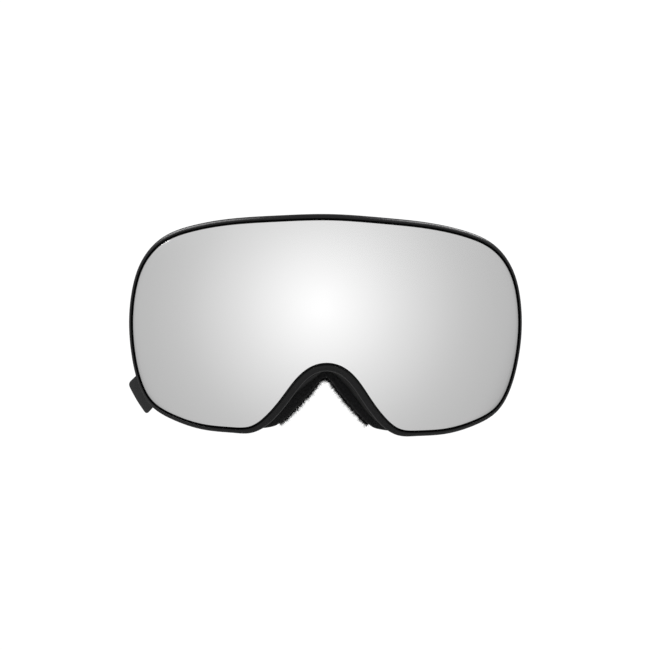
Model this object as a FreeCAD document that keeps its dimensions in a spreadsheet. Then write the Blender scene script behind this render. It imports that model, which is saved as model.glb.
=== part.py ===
"""Ski goggles: a spherical double lens on magnets, a frame with face foam, and an elastic head strap.

Millimetres.  +X is the wearer's left, +Y goes from the lens back towards the head, +Z is up.
The origin is the middle of the brow, on the fleece face that lies against the skin.
"""
import FreeCAD
import Part
import Sketcher

import math
import os

from FreeCAD import Placement, Rotation, Vector

os.makedirs("parts", exist_ok=True)
doc = FreeCAD.newDocument("ski_goggles")

# ---------------------------------------------------------------- sizes

SIZES = [
    ("lens_width", 181.0),           # the lens from temple to temple
    ("lens_height", 96.0),           # the lens from brow to cheek
    ("nose_span", 86.0),             # between the two lowest points of the lens
    ("nose_rise", 31.0),             # how far the lens arches up over the nose
    ("lens_radius", 112.0),          # ball radius of the outer lens
    ("lens_drop", 7.5),              # height of the ball's centre over the origin
    ("lens_front", 52.0),            # the lens's crown in front of the fleece at the brow
    ("lens_thickness", 1.2),
    ("inner_lens_thickness", 0.8),
    ("lens_gap", 3.6),               # air between the two lenses
    ("gasket_width", 3.0),
    ("rim_side", 1.75),              # width of the carrier's rim round the lens
    ("rim_top", 2.6),
    ("rim_bottom", 2.4),
    ("rim_nose", 3.5),
    ("rim_groove", 0.45),            # groove between the lens's edge and the rim
    ("rim_proud", 0.8),              # how far the rim stands in front of the lens
    ("carrier_depth", 7.0),
    ("carrier_ledge", 4.0),          # the part of the carrier that the lens is bonded to
    ("tab_thickness", 3.0),
    ("magnet_radius", 1.7),
    ("magnet_depth", 1.8),
    ("magnet_gap", 0.4),             # between the carrier's magnets and the frame's
    ("seat_thickness", 2.6),         # frame flange that the carrier lands on
    ("seat_width", 5.4),
    ("frame_wall", 2.2),
    ("frame_step", 0.4),             # the frame is this much smaller than the carrier
    ("flange_thickness", 1.6),       # frame flange that the foam is glued to
    ("flange_width", 9.0),
    ("vent_length", 10.0),
    ("vent_width", 3.4),
    ("vent_pitch", 14.5),
    ("vent_foam", 1.6),
    ("face_width", 165.0),           # the foam from temple to temple
    ("face_height", 93.0),
    ("face_drop", 2.5),              # the foam's middle below the origin
    ("face_nose_span", 82.0),
    ("face_nose_rise", 24.7),
    ("face_radius", 105.0),          # curve of the wearer's brow and cheeks, seen from above
    ("fleece_thickness", 2.0),
    ("comfort_thickness", 5.0),
    ("base_thickness", 11.0),
    ("foam_width", 12.0),
    ("pin_radius", 1.25),
    ("pin_clearance", 0.05),
    ("pin_across", 87.0),            # hinge pin from the middle
    ("pin_back", 15.0),              # hinge pin behind the origin
    ("knuckle_radius", 3.1),
    ("knuckle_height", 24.0),
    ("knuckle_gap", 0.3),
    ("ear_height", 4.5),
    ("arm_length", 29.0),
    ("arm_height", 50.0),
    ("arm_thickness", 3.2),
    ("arm_splay", 0.5),              # degrees that each arm leans outwards
    ("bar_width", 4.0),              # bar that the strap turns round
    ("slot_width", 5.2),
    ("strap_width", 42.0),
    ("strap_thickness", 1.8),
    ("strap_gap", 0.45),             # between the strap and the bar that it goes round
    ("turn_ease", 0.6),              # the strap's turn starts this far inside the bar's front edge
    ("ear_clearance", 0.3),          # between the ears and the face foam
    ("head_radius", 80.0),           # the strap's rear arc
    ("head_back", 115.0),            # centre of that arc behind the origin
    ("slider_back", 46.0),           # slider behind the arm's bar, along the strap
    ("slider_length", 24.0),
    ("slider_plate", 2.0),
    ("slider_edge", 3.0),
    ("slider_gap", 0.35),
    ("slider_bar_radius", 1.0),
    ("strap_end_thickness", 1.2),
    ("strap_end_length", 12.0),
    ("grip_width", 2.4),
    ("grip_thickness", 0.6),
    ("grip_pitch", 10.0),
    ("grip_reach", 58.0),            # degrees each side of the back that the grip lines run
]

sheet = doc.addObject("Spreadsheet::Sheet", "sizes")
sheet.Label = "sizes"
for row, (alias, value) in enumerate(SIZES, start=1):
    sheet.set(f"A{row}", alias)
    sheet.set(f"B{row}", str(value))
    sheet.setAlias(f"B{row}", alias)
doc.recompute()


def size(alias):
    """Value of one cell of the sheet."""
    return float(sheet.get(alias))


def bind(feature, **expressions):
    """Tie properties of a feature to cells of the sheet."""
    for name, expression in expressions.items():
        feature.setExpression(name, expression)
    return feature


# ---------------------------------------------------------------- outlines

# Right half of the lens, from the brow's middle round to the lowest point: shares of the lens's
# half width and half height.
LENS_HALF = [(0, 1), (.265, .978), (.497, .943), (.696, .874), (.851, .751), (.945, .541),
             (.988, .275), (1, -.01), (.986, -.323), (.954, -.578), (.894, -.780), (.779, -.905),
             (.622, -.984), (.475, -1)]
# On from there to the middle of the nose: shares of half the nose's span and of its rise.
LENS_NOSE = [(.80, .025), (.628, .20), (.453, .505), (.291, .805), (.151, .953), (0, 1)]

# The same points round the face foam.
FACE_HALF = [(0, 1), (.267, .989), (.497, .957), (.691, .882), (.842, .742), (.939, .538),
             (.988, .290), (1, .032), (.985, -.226), (.945, -.484), (.873, -.699), (.764, -.849),
             (.630, -.942), (.497, -.989)]
FACE_NOSE = [(.74, .012), (.55, .08), (.405, .28), (.27, .52), (.132, .79), (0, 1)]


def whole_outline(half, nose, width, height, drop, nose_span, nose_rise):
    """Closed list of points in the XZ plane, clockwise from the brow's middle."""
    right = [Vector(x * width / 2, 0, z * height / 2 - drop) for x, z in half]
    right += [Vector(x * nose_span / 2, 0, z * nose_rise - height / 2 - drop) for x, z in nose]
    left = [Vector(-point.x, 0, point.z) for point in reversed(right[1:-1])]
    return right + left


def closed_curve(points):
    curve = Part.BSplineCurve()
    curve.interpolate(Points=points, PeriodicFlag=True)
    return curve


def grown(points, amount):
    """Outline moved outwards by amount, a number or a function of the point and its normal."""
    curve = closed_curve(points)
    result = []
    for point in points:
        along = curve.tangent(curve.parameter(point))[0]
        outwards = Vector(-along.z, 0, along.x)
        by = amount(point, outwards) if callable(amount) else amount
        result.append(point + outwards * by)
    return result


def rim_width(point, outwards):
    """Width of the rim: its side value, changing to the top and bottom ones, and the nose's."""
    upper = max(outwards.z, 0) ** 2
    lower = max(-outwards.z, 0) ** 2
    side = size("rim_side")
    width = side + (size("rim_top") - side) * upper + (size("rim_bottom") - side) * lower
    near_nose = (1 - abs(point.x) / (size("nose_span") / 2)) / 0.4
    if point.z > 0 or near_nose <= 0:
        return width
    share = min(near_nose, 1)
    share = share * share * (3 - 2 * share)
    return width + (size("rim_nose") - width) * share


lens_edge = whole_outline(LENS_HALF, LENS_NOSE, size("lens_width"), size("lens_height"), 0,
                          size("nose_span"), size("nose_rise"))
face_edge = whole_outline(FACE_HALF, FACE_NOSE, size("face_width"), size("face_height"),
                          size("face_drop"), size("face_nose_span"), size("face_nose_rise"))
rim_edge = grown(lens_edge, rim_width)
frame_edge = grown(rim_edge, -size("frame_step"))

# ---------------------------------------------------------------- solids that the pieces share

FRONT_PLANE = -size("lens_front") - 10
BACK_PLANE = size("face_radius") / 2


WIRE_EDGES = 8


def wire_at(points, depth):
    """Closed wire through the points, in a few edges so that face integrals stay accurate."""
    curve = closed_curve(points)
    turn = curve.LastParameter - curve.FirstParameter
    breaks = [curve.parameter(points[number * len(points) // WIRE_EDGES])
              for number in range(WIRE_EDGES)]
    ends = breaks[1:] + [breaks[0] + turn]
    wire = Part.Wire([curve.toShape(start, end) for start, end in zip(breaks, ends)])
    wire.translate(Vector(0, depth, 0))
    return wire


def prism(label, outline, inner=None):
    """Solid of an outline, less an inner one, carried straight from front to back."""
    face = Part.Face(wire_at(outline, FRONT_PLANE))
    if inner:
        face = face.cut(Part.Face(wire_at(inner, FRONT_PLANE)))
    flat = doc.addObject("Part::Feature", label + "_outline")
    flat.Shape = face
    solid = doc.addObject("Part::Extrusion", label)
    solid.Base = flat
    solid.DirMode = "Custom"
    solid.Dir = Vector(0, 1, 0)
    solid.LengthFwd = BACK_PLANE - FRONT_PLANE
    solid.Solid = True
    return solid


def ball(label, radius, back="0"):
    """Ball on the lens's centre, or moved back by an expression."""
    solid = doc.addObject("Part::Sphere", label)
    bind(solid, **{"Radius": radius,
                   "Placement.Base.y": f"sizes.lens_radius - sizes.lens_front + {back}",
                   "Placement.Base.z": "sizes.lens_drop"})
    return solid


def drum(label, radius):
    """Upright cylinder on the axis of the wearer's face curve."""
    solid = doc.addObject("Part::Cylinder", label)
    bind(solid, **{"Radius": radius, "Height": "sizes.face_height * 2",
                   "Placement.Base.y": "sizes.face_radius",
                   "Placement.Base.z": "-sizes.face_height"})
    return solid


def common(label, *shapes):
    result = doc.addObject("Part::MultiCommon", label)
    result.Shapes = list(shapes)
    return result


def fuse(label, *shapes):
    result = doc.addObject("Part::MultiFuse", label)
    result.Shapes = list(shapes)
    result.Refine = False
    return result


def cut(label, base, *tools):
    result = base
    for number, tool in enumerate(tools, start=1):
        step = doc.addObject("Part::Cut", f"{label}_step_{number}")
        step.Base = result
        step.Tool = tool
        result = step
    result.Label = label
    return result


pieces = {}


def keep(name, feature):
    """Name a finished piece; its label is its file's name."""
    feature.Label = name
    pieces[name] = feature
    return feature


# ---------------------------------------------------------------- lens

lens_outside = ball("lens_outside", "sizes.lens_radius")
lens_inside = ball("lens_inside", "sizes.lens_radius - sizes.lens_thickness")
inner_outside = ball("inner_outside", "sizes.lens_radius - sizes.lens_thickness", "sizes.lens_gap")
inner_inside = ball("inner_inside", "sizes.lens_radius - sizes.lens_thickness"
                    " - sizes.inner_lens_thickness", "sizes.lens_gap")
carrier_back = ball("carrier_back", "sizes.lens_radius", "sizes.carrier_depth")

ledge_edge = grown(lens_edge, -size("carrier_ledge"))
stack_edge = grown(lens_edge, -size("carrier_ledge") - 0.2)
gasket_inner_edge = grown(lens_edge, -size("carrier_ledge") - 0.2 - size("gasket_width"))

keep("outer_lens", cut("outer_lens", common("outer_lens_blank", prism("lens_prism", lens_edge),
                                            lens_outside), lens_inside))
keep("lens_gasket", cut("lens_gasket", common("lens_gasket_blank",
                                              prism("gasket_prism", stack_edge, gasket_inner_edge),
                                              lens_inside), inner_outside))
keep("inner_lens", cut("inner_lens", common("inner_lens_blank", prism("inner_prism", stack_edge),
                                            inner_outside), inner_inside))

# ---------------------------------------------------------------- magnets

# Outline points, counted clockwise from the brow, that hold a magnet on the right side.
MAGNET_POINTS = [2, 5, 8, 11]


def magnet_places():
    """Point and outward normal of each magnet on the carrier's back face."""
    line = grown(lens_edge, -1.2)
    centre = Vector(0, size("lens_radius") - size("lens_front") + size("carrier_depth"),
                    size("lens_drop"))
    numbers = MAGNET_POINTS + [len(line) - number for number in MAGNET_POINTS]
    for number in sorted(numbers):
        point = Vector(line[number])
        aside = (point.x - centre.x) ** 2 + (point.z - centre.z) ** 2
        point.y = centre.y - math.sqrt(size("lens_radius") ** 2 - aside)
        yield point, (point - centre).normalize()


def magnet_group(label, start, depth, extra=0.0):
    """Discs that begin at a distance in front of the carrier's back face."""
    discs = [Part.makeCylinder(size("magnet_radius") + extra, depth, point + forward * start, forward)
             for point, forward in magnet_places()]
    group = doc.addObject("Part::Feature", label)
    group.Shape = Part.makeCompound(discs)
    return group


frame_magnet_start = -size("magnet_gap") - size("magnet_depth")
keep("lens_magnets", magnet_group("lens_magnets", 0, size("magnet_depth")))
keep("frame_magnets", magnet_group("frame_magnets", frame_magnet_start, size("magnet_depth")))
carrier_pockets = magnet_group("carrier_pockets", -3, 3 + size("magnet_depth"), 0.02)
seat_pockets = magnet_group("seat_pockets", frame_magnet_start, size("magnet_depth") + 3, 0.02)

# ---------------------------------------------------------------- lens carrier and its tab

rim_front = ball("rim_front", "sizes.lens_radius + sizes.rim_proud")
groove_edge = grown(lens_edge, size("rim_groove"))
lens_pocket = cut("lens_pocket", prism("groove_prism", groove_edge), lens_inside)
keep("lens_carrier", cut("lens_carrier",
                         common("carrier_blank", prism("carrier_prism", rim_edge, ledge_edge), rim_front),
                         carrier_back, lens_pocket, carrier_pockets))

# Pull tab at the lower right-hand corner of the wearer's view: its corners in the XZ plane, as
# shares of the lens's half width and half height, with the radius of each rounded corner.
TAB_CORNERS = [((-.955, -.50), 0), ((-.985, -.548), 0.8), ((-1.030, -.630), 2.2), ((-.985, -.785), 12),
               ((-.928, -.931), 2.0), ((-.888, -.848), 0.8), ((-.862, -.81), 0)]


def rounded_polygon(corners):
    """Closed wire through corners; each corner with a radius becomes an arc tangent to its sides."""
    starts, ends, middles = [], [], []
    for number, (corner, radius) in enumerate(corners):
        before = (corners[number - 1][0] - corner).normalize()
        after = (corners[(number + 1) % len(corners)][0] - corner).normalize()
        half = before.getAngle(after) / 2
        reach = radius / math.tan(half)
        starts.append(corner + before * reach)
        ends.append(corner + after * reach)
        middle = (before + after).normalize()
        middles.append(corner + middle * (radius / math.sin(half) - radius))
    edges = []
    for number, (corner, radius) in enumerate(corners):
        if radius:
            edges.append(Part.Arc(starts[number], middles[number], ends[number]).toShape())
        following = (number + 1) % len(corners)
        edges.append(Part.LineSegment(ends[number], starts[following]).toShape())
    return Part.Wire(edges)


tab_points = [(Vector(x * size("lens_width") / 2, FRONT_PLANE, z * size("lens_height") / 2), radius)
              for (x, z), radius in TAB_CORNERS]
tab_flat = doc.addObject("Part::Feature", "tab_outline")
tab_flat.Shape = Part.Face(rounded_polygon(tab_points))
tab_prism = doc.addObject("Part::Extrusion", "tab_prism")
tab_prism.Base = tab_flat
tab_prism.DirMode = "Custom"
tab_prism.Dir = Vector(0, 1, 0)
tab_prism.LengthFwd = BACK_PLANE - FRONT_PLANE
tab_prism.Solid = True
tab_front = ball("tab_front", "sizes.lens_radius", "sizes.carrier_depth - sizes.tab_thickness - 1")
tab_back = ball("tab_back", "sizes.lens_radius", "sizes.carrier_depth - 1")
keep("pull_tab", cut("pull_tab", common("tab_blank", tab_prism, tab_front), tab_back,
                     prism("rim_prism", rim_edge)))

# ---------------------------------------------------------------- face frame

seat_front = ball("seat_front", "sizes.lens_radius", "sizes.carrier_depth + sizes.magnet_gap")
seat_back = ball("seat_back", "sizes.lens_radius",
                 "sizes.carrier_depth + sizes.magnet_gap + sizes.seat_thickness")
FOAM_DEPTH = "sizes.fleece_thickness + sizes.comfort_thickness + sizes.base_thickness"
foam_front = drum("foam_front", f"sizes.face_radius + {FOAM_DEPTH}")
flange_front = drum("flange_front", f"sizes.face_radius + {FOAM_DEPTH} + sizes.flange_thickness")

TAPER_FRONT = -size("lens_front") - 5
TAPER_BACK = 20.0
TAPER_INSET = 1.47                    # the wall starts this far inside the seat's edge
SLOT_REACH = 24                      # upright length of a vent slot's cutter
EAR_BLOCK = 10                       # reach of an ear's block inwards from the pin
RAIL_HALF = 5                        # half the length of a slider's rails


def taper(label, front, back, beyond=20.0):
    """Solid whose outline goes evenly from front to back, and on past the back by beyond."""
    share = (TAPER_BACK + beyond - TAPER_FRONT) / (TAPER_BACK - TAPER_FRONT)
    far = [near + (end - near) * share for near, end in zip(front, back)]
    sections = []
    for number, (points, depth) in enumerate([(front, TAPER_FRONT), (far, TAPER_BACK + beyond)]):
        section = doc.addObject("Part::Feature", f"{label}_section_{number}")
        section.Shape = wire_at(points, depth)
        sections.append(section)
    solid = doc.addObject("Part::Loft", label)
    solid.Sections = sections
    solid.Solid = True
    solid.Ruled = True
    return solid


def taper_inside(label, wall):
    return taper(label, grown(frame_edge, -wall - TAPER_INSET), grown(face_edge, -wall))


wall_front = ball("wall_front", "sizes.lens_radius",
                  "sizes.carrier_depth + sizes.magnet_gap + sizes.seat_thickness / 2")
frame_plug = cut("frame_plug", common("frame_blank", taper_inside("frame_outer", 0), wall_front),
                 foam_front)
frame_hollow = cut("frame_hollow", taper_inside("frame_inner", size("frame_wall")), flange_front)
flange_hole = prism("flange_hole", grown(face_edge, -size("flange_width")))
seat = cut("frame_seat",
           common("seat_blank", prism("seat_prism", frame_edge, grown(lens_edge, -size("seat_width"))),
                  seat_front), seat_back)


def wall_middle(across, height):
    """Depth of the middle of the frame's wall between the lens seat and the foam flange."""
    centre = (size("lens_radius") - size("lens_front") + size("carrier_depth") + size("magnet_gap")
              + size("seat_thickness"))
    aside = across ** 2 + (height - size("lens_drop")) ** 2
    front = centre - math.sqrt(size("lens_radius") ** 2 - aside)
    drum_radius = (size("face_radius") + size("fleece_thickness") + size("comfort_thickness")
                   + size("base_thickness") + size("flange_thickness"))
    back = size("face_radius") - math.sqrt(drum_radius ** 2 - across ** 2)
    return (front + back) / 2


def vent_slots(label, across, height):
    """Row of slots through the wall, one at each place across, upright through a given height."""
    length, width = size("vent_length"), size("vent_width")
    slots = []
    for place in across:
        middle = wall_middle(place, height)
        turn = math.degrees(math.asin(place / size("face_radius"))) * 0.9
        slot = Part.makeBox(length, width, SLOT_REACH,
                            Vector(-length / 2, -width / 2, -SLOT_REACH / 2))
        slot.Placement = Placement(Vector(place, middle, height), Rotation(Vector(0, 0, 1), turn))
        slots.append(slot)
    group = doc.addObject("Part::Feature", label)
    group.Shape = Part.makeCompound(slots)
    return group


pitch = size("vent_pitch")
top_height = size("face_height") / 2
top_slots = vent_slots("top_slots", [pitch * number for number in (-3, -2, -1, 0, 1, 2, 3)], top_height)
low_across = [pitch * number for number in (3.2, 4.2)]
low_slots = vent_slots("low_slots", [-x for x in low_across] + low_across, -top_height)

# Ears for the outrigger's hinge pin, above and below its knuckle.
ear_low = size("knuckle_height") / 2 + size("knuckle_gap")


def ear(label, side, height):
    solid = doc.addObject("Part::Feature", label)
    radius = size("knuckle_radius")
    across = size("pin_across")
    base = Vector(side * across, size("pin_back"), height)
    block = Part.makeBox(EAR_BLOCK, 2 * radius, size("ear_height"),
                         Vector(side * (across - EAR_BLOCK / 2) - EAR_BLOCK / 2,
                                size("pin_back") - radius, height))
    round_end = Part.makeCylinder(radius, size("ear_height"), base)
    solid.Shape = block.fuse(round_end)
    return solid


ears = [ear(f"ear_{name}_{place}", side, height)
        for name, side in (("left", 1), ("right", -1))
        for place, height in (("upper", ear_low), ("lower", -ear_low - size("ear_height")))]
pin_holes = doc.addObject("Part::Feature", "pin_holes")
pin_holes.Shape = Part.makeCompound(
    [Part.makeCylinder(size("pin_radius"), 60, Vector(side * size("pin_across"), size("pin_back"), -30))
     for side in (1, -1)])

foam_space = common("foam_space", prism("foam_space_prism", grown(face_edge, size("ear_clearance"))),
                    foam_front)
ears_outside = cut("ears_outside", fuse("ears", *ears),
                   taper_inside("ear_trim", size("frame_wall") / 2), foam_space)
shell = cut("frame_shell", frame_plug, frame_hollow, flange_hole, top_slots, low_slots)
keep("face_frame", cut("face_frame", fuse("frame_body", shell, seat, ears_outside), pin_holes,
                       seat_pockets))

# ---------------------------------------------------------------- foam over the vents

vent_ring = cut("vent_ring", common("vent_ring_blank", taper_inside("vent_outer", size("frame_wall")),
                                    seat_back),
                taper_inside("vent_inner", size("frame_wall") + size("vent_foam")), flange_front)


def vent_strip(name, low, high, bottom, top):
    """The part of the vent ring that lies between two places across."""
    window = doc.addObject("Part::Box", name + "_window")
    window.Length = high - low
    window.Width = BACK_PLANE - FRONT_PLANE
    window.Height = top - bottom
    window.Placement.Base = Vector(low, FRONT_PLANE, bottom)
    keep(name, common(name, vent_ring, window))


strip_end = size("vent_length") / 2 + 4
vent_strip("top_vent_foam", -3 * pitch - strip_end, 3 * pitch + strip_end, 20, 60)
vent_strip("bottom_vent_foam_left", low_across[0] - strip_end, low_across[1] + strip_end, -60, -30)
vent_strip("bottom_vent_foam_right", -low_across[1] - strip_end, -low_across[0] + strip_end, -60, -30)

# ---------------------------------------------------------------- face foam

fleece_back = drum("fleece_back", "sizes.face_radius")
comfort_back = drum("comfort_back", "sizes.face_radius + sizes.fleece_thickness")
base_back = drum("base_back", "sizes.face_radius + sizes.fleece_thickness + sizes.comfort_thickness")
layers = [("foam_base", 0.0, foam_front, base_back), ("foam_comfort", -0.6, base_back, comfort_back),
          ("fleece_lining", -0.3, comfort_back, fleece_back)]
for name, growth, front, back in layers:
    outer = grown(face_edge, growth)
    ring = prism(name + "_prism", outer, grown(face_edge, growth - size("foam_width")))
    keep(name, cut(name, common(name + "_blank", ring, front), back))

# ---------------------------------------------------------------- outriggers


def origin_plane(body, role):
    return next(item for item in body.Origin.OriginFeatures if item.Role == role)


def sketch_on(body, role, name, offset=0.0):
    sketch = body.newObject("Sketcher::SketchObject", name)
    sketch.AttachmentSupport = (origin_plane(body, role), [""])
    sketch.MapMode = "FlatFace"
    sketch.AttachmentOffset = Placement(Vector(0, 0, offset), Rotation())
    return sketch


def closed_lines(sketch, points):
    for start, end in zip(points, points[1:] + points[:1]):
        sketch.addGeometry(Part.LineSegment(Vector(*start, 0), Vector(*end, 0)))


def rectangle(sketch, low, high):
    closed_lines(sketch, [(low[0], low[1]), (high[0], low[1]), (high[0], high[1]), (low[0], high[1])])


def circle(sketch, x, y, radius, expression):
    number = sketch.addGeometry(Part.Circle(Vector(x, y, 0), Vector(0, 0, 1), radius))
    constraint = sketch.addConstraint(Sketcher.Constraint("Radius", number, radius))
    sketch.setExpression(f"Constraints[{constraint}]", expression)


def pad(body, sketch, length, name, both_sides=True):
    feature = body.newObject("PartDesign::Pad", name)
    feature.Profile = sketch
    feature.Midplane = both_sides
    feature.setExpression("Length", length)
    return feature


def arm_direction(side):
    splay = math.radians(size("arm_splay"))
    return Vector(side * math.sin(splay), math.cos(splay), 0)


def outrigger(name, side):
    """Flat arm with a knuckle at the front and a strap slot at the rear.

    In the body's own frame the pin is the Z axis and the arm runs along +Y.
    """
    body = doc.addObject("PartDesign::Body", name)
    length, tall, root = size("arm_length"), size("arm_height") / 2, size("knuckle_height") / 2
    slot_back = length - size("bar_width")
    slot_front = slot_back - size("slot_width")
    plate = sketch_on(body, "YZ_Plane", name + "_plate_sketch")
    closed_lines(plate, [(0, -root), (7, -root), (slot_front - 3, -tall + 2), (slot_front, -tall),
                         (length - 2, -tall), (length, -tall + 2), (length, tall - 2), (length - 2, tall),
                         (slot_front, tall), (slot_front - 3, tall - 2), (7, root), (0, root)])
    opening = size("strap_width") / 2 + 1
    rectangle(plate, (slot_front, -opening), (slot_back, opening))
    pad(body, plate, "sizes.arm_thickness", name + "_plate")
    knuckle = sketch_on(body, "XY_Plane", name + "_knuckle_sketch")
    circle(knuckle, 0, 0, size("knuckle_radius"), "sizes.knuckle_radius")
    pad(body, knuckle, "sizes.knuckle_height", name + "_knuckle")
    bore = sketch_on(body, "XY_Plane", name + "_bore_sketch")
    circle(bore, 0, 0, size("pin_radius") + size("pin_clearance"),
           "sizes.pin_radius + sizes.pin_clearance")
    hole = body.newObject("PartDesign::Pocket", name + "_bore")
    hole.Profile = bore
    hole.Midplane = True
    hole.setExpression("Length", "sizes.knuckle_height + 2")
    body.Placement = Placement(Vector(side * size("pin_across"), size("pin_back"), 0),
                               Rotation(Vector(0, 0, 1), -side * size("arm_splay")))
    return keep(name, body)


def hinge_pin(name, side):
    body = doc.addObject("PartDesign::Body", name)
    sketch = sketch_on(body, "XY_Plane", name + "_sketch")
    circle(sketch, 0, 0, size("pin_radius"), "sizes.pin_radius")
    pad(body, sketch, "sizes.knuckle_height + 2 * sizes.knuckle_gap + 2 * sizes.ear_height",
        name + "_pad")
    body.Placement.Base = Vector(side * size("pin_across"), size("pin_back"), 0)
    return keep(name, body)


for hand, side in (("left", 1), ("right", -1)):
    outrigger(f"outrigger_{hand}", side)
    hinge_pin(f"hinge_pin_{hand}", side)

# ---------------------------------------------------------------- strap

# The strap leaves each arm's bar in a straight run that is tangent to the arc round the head.
# It lies at strap_side to the outside of that line, and its turned-back end at the inside.
strap_side = size("arm_thickness") / 2 + size("strap_gap") + size("strap_thickness") / 2
half_strap = size("strap_thickness") / 2


def strap_line(side):
    """Bar's centre, the direction of the straight run, its length and the way outwards."""
    reach = size("arm_length") - size("bar_width") / 2
    start = Vector(side * size("pin_across"), size("pin_back"), 0) + arm_direction(side) * reach
    to_centre = Vector(0, size("head_back"), 0) - start
    run = math.sqrt(to_centre.Length ** 2 - size("head_radius") ** 2)
    turn = math.degrees(math.asin(size("head_radius") / to_centre.Length))
    along = Rotation(Vector(0, 0, 1), -side * turn).multVec(to_centre).normalize()
    outwards = Vector(side * along.y, -side * along.x, 0)
    return start, along, run, outwards


def band(name, wire):
    """Webbing: a plan profile carried over the strap's width, upright and centred."""
    flat = doc.addObject("Part::Feature", name + "_profile")
    wire.translate(Vector(0, 0, -size("strap_width") / 2))
    flat.Shape = Part.Face(wire)
    solid = doc.addObject("Part::Extrusion", name + "_band")
    solid.Base = flat
    solid.DirMode = "Custom"
    solid.Dir = Vector(0, 0, 1)
    solid.Solid = True
    bind(solid, LengthFwd="sizes.strap_width")
    return solid


def line(start, end):
    return Part.LineSegment(start, end).toShape()


def arc(start, middle, end):
    return Part.Arc(start, middle, end).toShape()


SLIDER_RUN = size("slider_back") - size("slider_length") / 2
REAR_START = SLIDER_RUN - 8.0


def strap_front(name, side):
    """The strap's end turned round the arm's bar: outer ply, turn and inner ply."""
    start, along, run, outwards = strap_line(side)

    def place(back, out):
        return start + along * back + outwards * out

    far, near = strap_side + half_strap, strap_side - half_strap
    turn = size("turn_ease") - size("bar_width") / 2
    outer_end = REAR_START - 0.3
    inner_end = size("slider_back") - size("strap_end_length") - 2.5
    wire = Part.Wire([
        line(place(outer_end, far), place(turn, far)),
        arc(place(turn, far), place(turn - far, 0), place(turn, -far)),
        line(place(turn, -far), place(inner_end, -far)),
        line(place(inner_end, -far), place(inner_end, -near)),
        line(place(inner_end, -near), place(turn, -near)),
        arc(place(turn, -near), place(turn - near, 0), place(turn, near)),
        line(place(turn, near), place(outer_end, near)),
        line(place(outer_end, near), place(outer_end, far))])
    return keep(name, band(name, wire))


def strap_rear():
    """The strap round the head, from one slider's front to the other's."""
    edges = {}
    for out in (strap_side + half_strap, strap_side - half_strap):
        ends = []
        for side in (-1, 1):
            start, along, run, outwards = strap_line(side)
            ends.append((start + along * REAR_START + outwards * out,
                         start + along * run + outwards * out))
        back = Vector(0, size("head_back") + size("head_radius") + out, 0)
        edges[out] = (ends, back)
    (outer_ends, outer_back), (inner_ends, inner_back) = edges.values()
    (right_out, right_tangent), (left_out, left_tangent) = outer_ends
    (right_in, right_inner_tangent), (left_in, left_inner_tangent) = inner_ends
    wire = Part.Wire([
        line(right_out, right_tangent), arc(right_tangent, outer_back, left_tangent),
        line(left_tangent, left_out), line(left_out, left_in), line(left_in, left_inner_tangent),
        arc(left_inner_tangent, inner_back, right_inner_tangent), line(right_inner_tangent, right_in),
        line(right_in, right_out)])
    return keep("strap_rear", band("strap_rear", wire))


def grip_lines():
    """Three silicone lines on the inside of the strap, round the back of the head."""
    outer = size("head_radius") + strap_side - half_strap
    centre = Vector(0, size("head_back"), 0)
    reach = size("grip_reach")
    solids = []
    for number in (-1, 0, 1):
        low = number * size("grip_pitch") - size("grip_width") / 2
        ring = Part.makeCylinder(outer, size("grip_width"), centre + Vector(0, 0, low), Vector(0, 0, 1),
                                 2 * reach)
        hollow = Part.makeCylinder(outer - size("grip_thickness"), size("grip_width"),
                                   centre + Vector(0, 0, low), Vector(0, 0, 1), 2 * reach)
        strip = ring.cut(hollow)
        strip.rotate(centre, Vector(0, 0, 1), 90 - reach)
        solids.append(strip)
    group = doc.addObject("Part::Feature", "strap_grip")
    group.Shape = Part.makeCompound(solids)
    return keep("strap_grip", group)


strap_rear()
grip_lines()
for hand, side in (("left", 1), ("right", -1)):
    strap_front(f"strap_front_{hand}", side)

# ---------------------------------------------------------------- sliders

# In a slider's own frame the strap runs along Y with its middle at X = 0, and +X is away from
# the head.  The bar that the strap's end is sewn round lies inside the strap.
bar_inside = (half_strap + size("slider_gap") + size("strap_end_thickness") + 0.1
              + size("slider_bar_radius"))


def slider_placement(side):
    start, along, run, outwards = strap_line(side)
    turn = math.degrees(math.atan2(along.y, along.x)) - 90
    return Placement(start + along * size("slider_back") + outwards * strap_side,
                     Rotation(Vector(0, 0, 1), turn))


def slider(name, side):
    body = doc.addObject("PartDesign::Body", name)
    long, opening = size("slider_length") / 2, size("strap_width") / 2 + 1
    tall = opening + size("slider_edge")
    window = long - size("slider_edge")
    inner_face = half_strap + size("slider_gap")
    plate = sketch_on(body, "YZ_Plane", name + "_plate_sketch",
                      side * (inner_face + size("slider_plate") / 2))
    closed_lines(plate, [(-long, 2 - tall), (2 - long, -tall), (long - 2, -tall), (long, 2 - tall),
                         (long, tall - 2), (long - 2, tall), (2 - long, tall), (-long, tall - 2)])
    rectangle(plate, (-window, -opening), (window, opening))
    pad(body, plate, "sizes.slider_plate", name + "_plate")
    depth = inner_face + bar_inside + size("slider_bar_radius")
    rails = sketch_on(body, "YZ_Plane", name + "_rails_sketch", side * (inner_face - depth / 2))
    for low, high in ((opening, tall), (-tall, -opening)):
        rectangle(rails, (-RAIL_HALF, low), (RAIL_HALF, high))
    feature = body.newObject("PartDesign::Pad", name + "_rails")
    feature.Profile = rails
    feature.Midplane = True
    feature.Length = depth
    bar = sketch_on(body, "XY_Plane", name + "_bar_sketch")
    circle(bar, -side * bar_inside, 0, size("slider_bar_radius"), "sizes.slider_bar_radius")
    pad(body, bar, "sizes.strap_width + 2 * sizes.slider_edge", name + "_bar")
    body.Placement = slider_placement(side)
    return keep(name, body)


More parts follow.
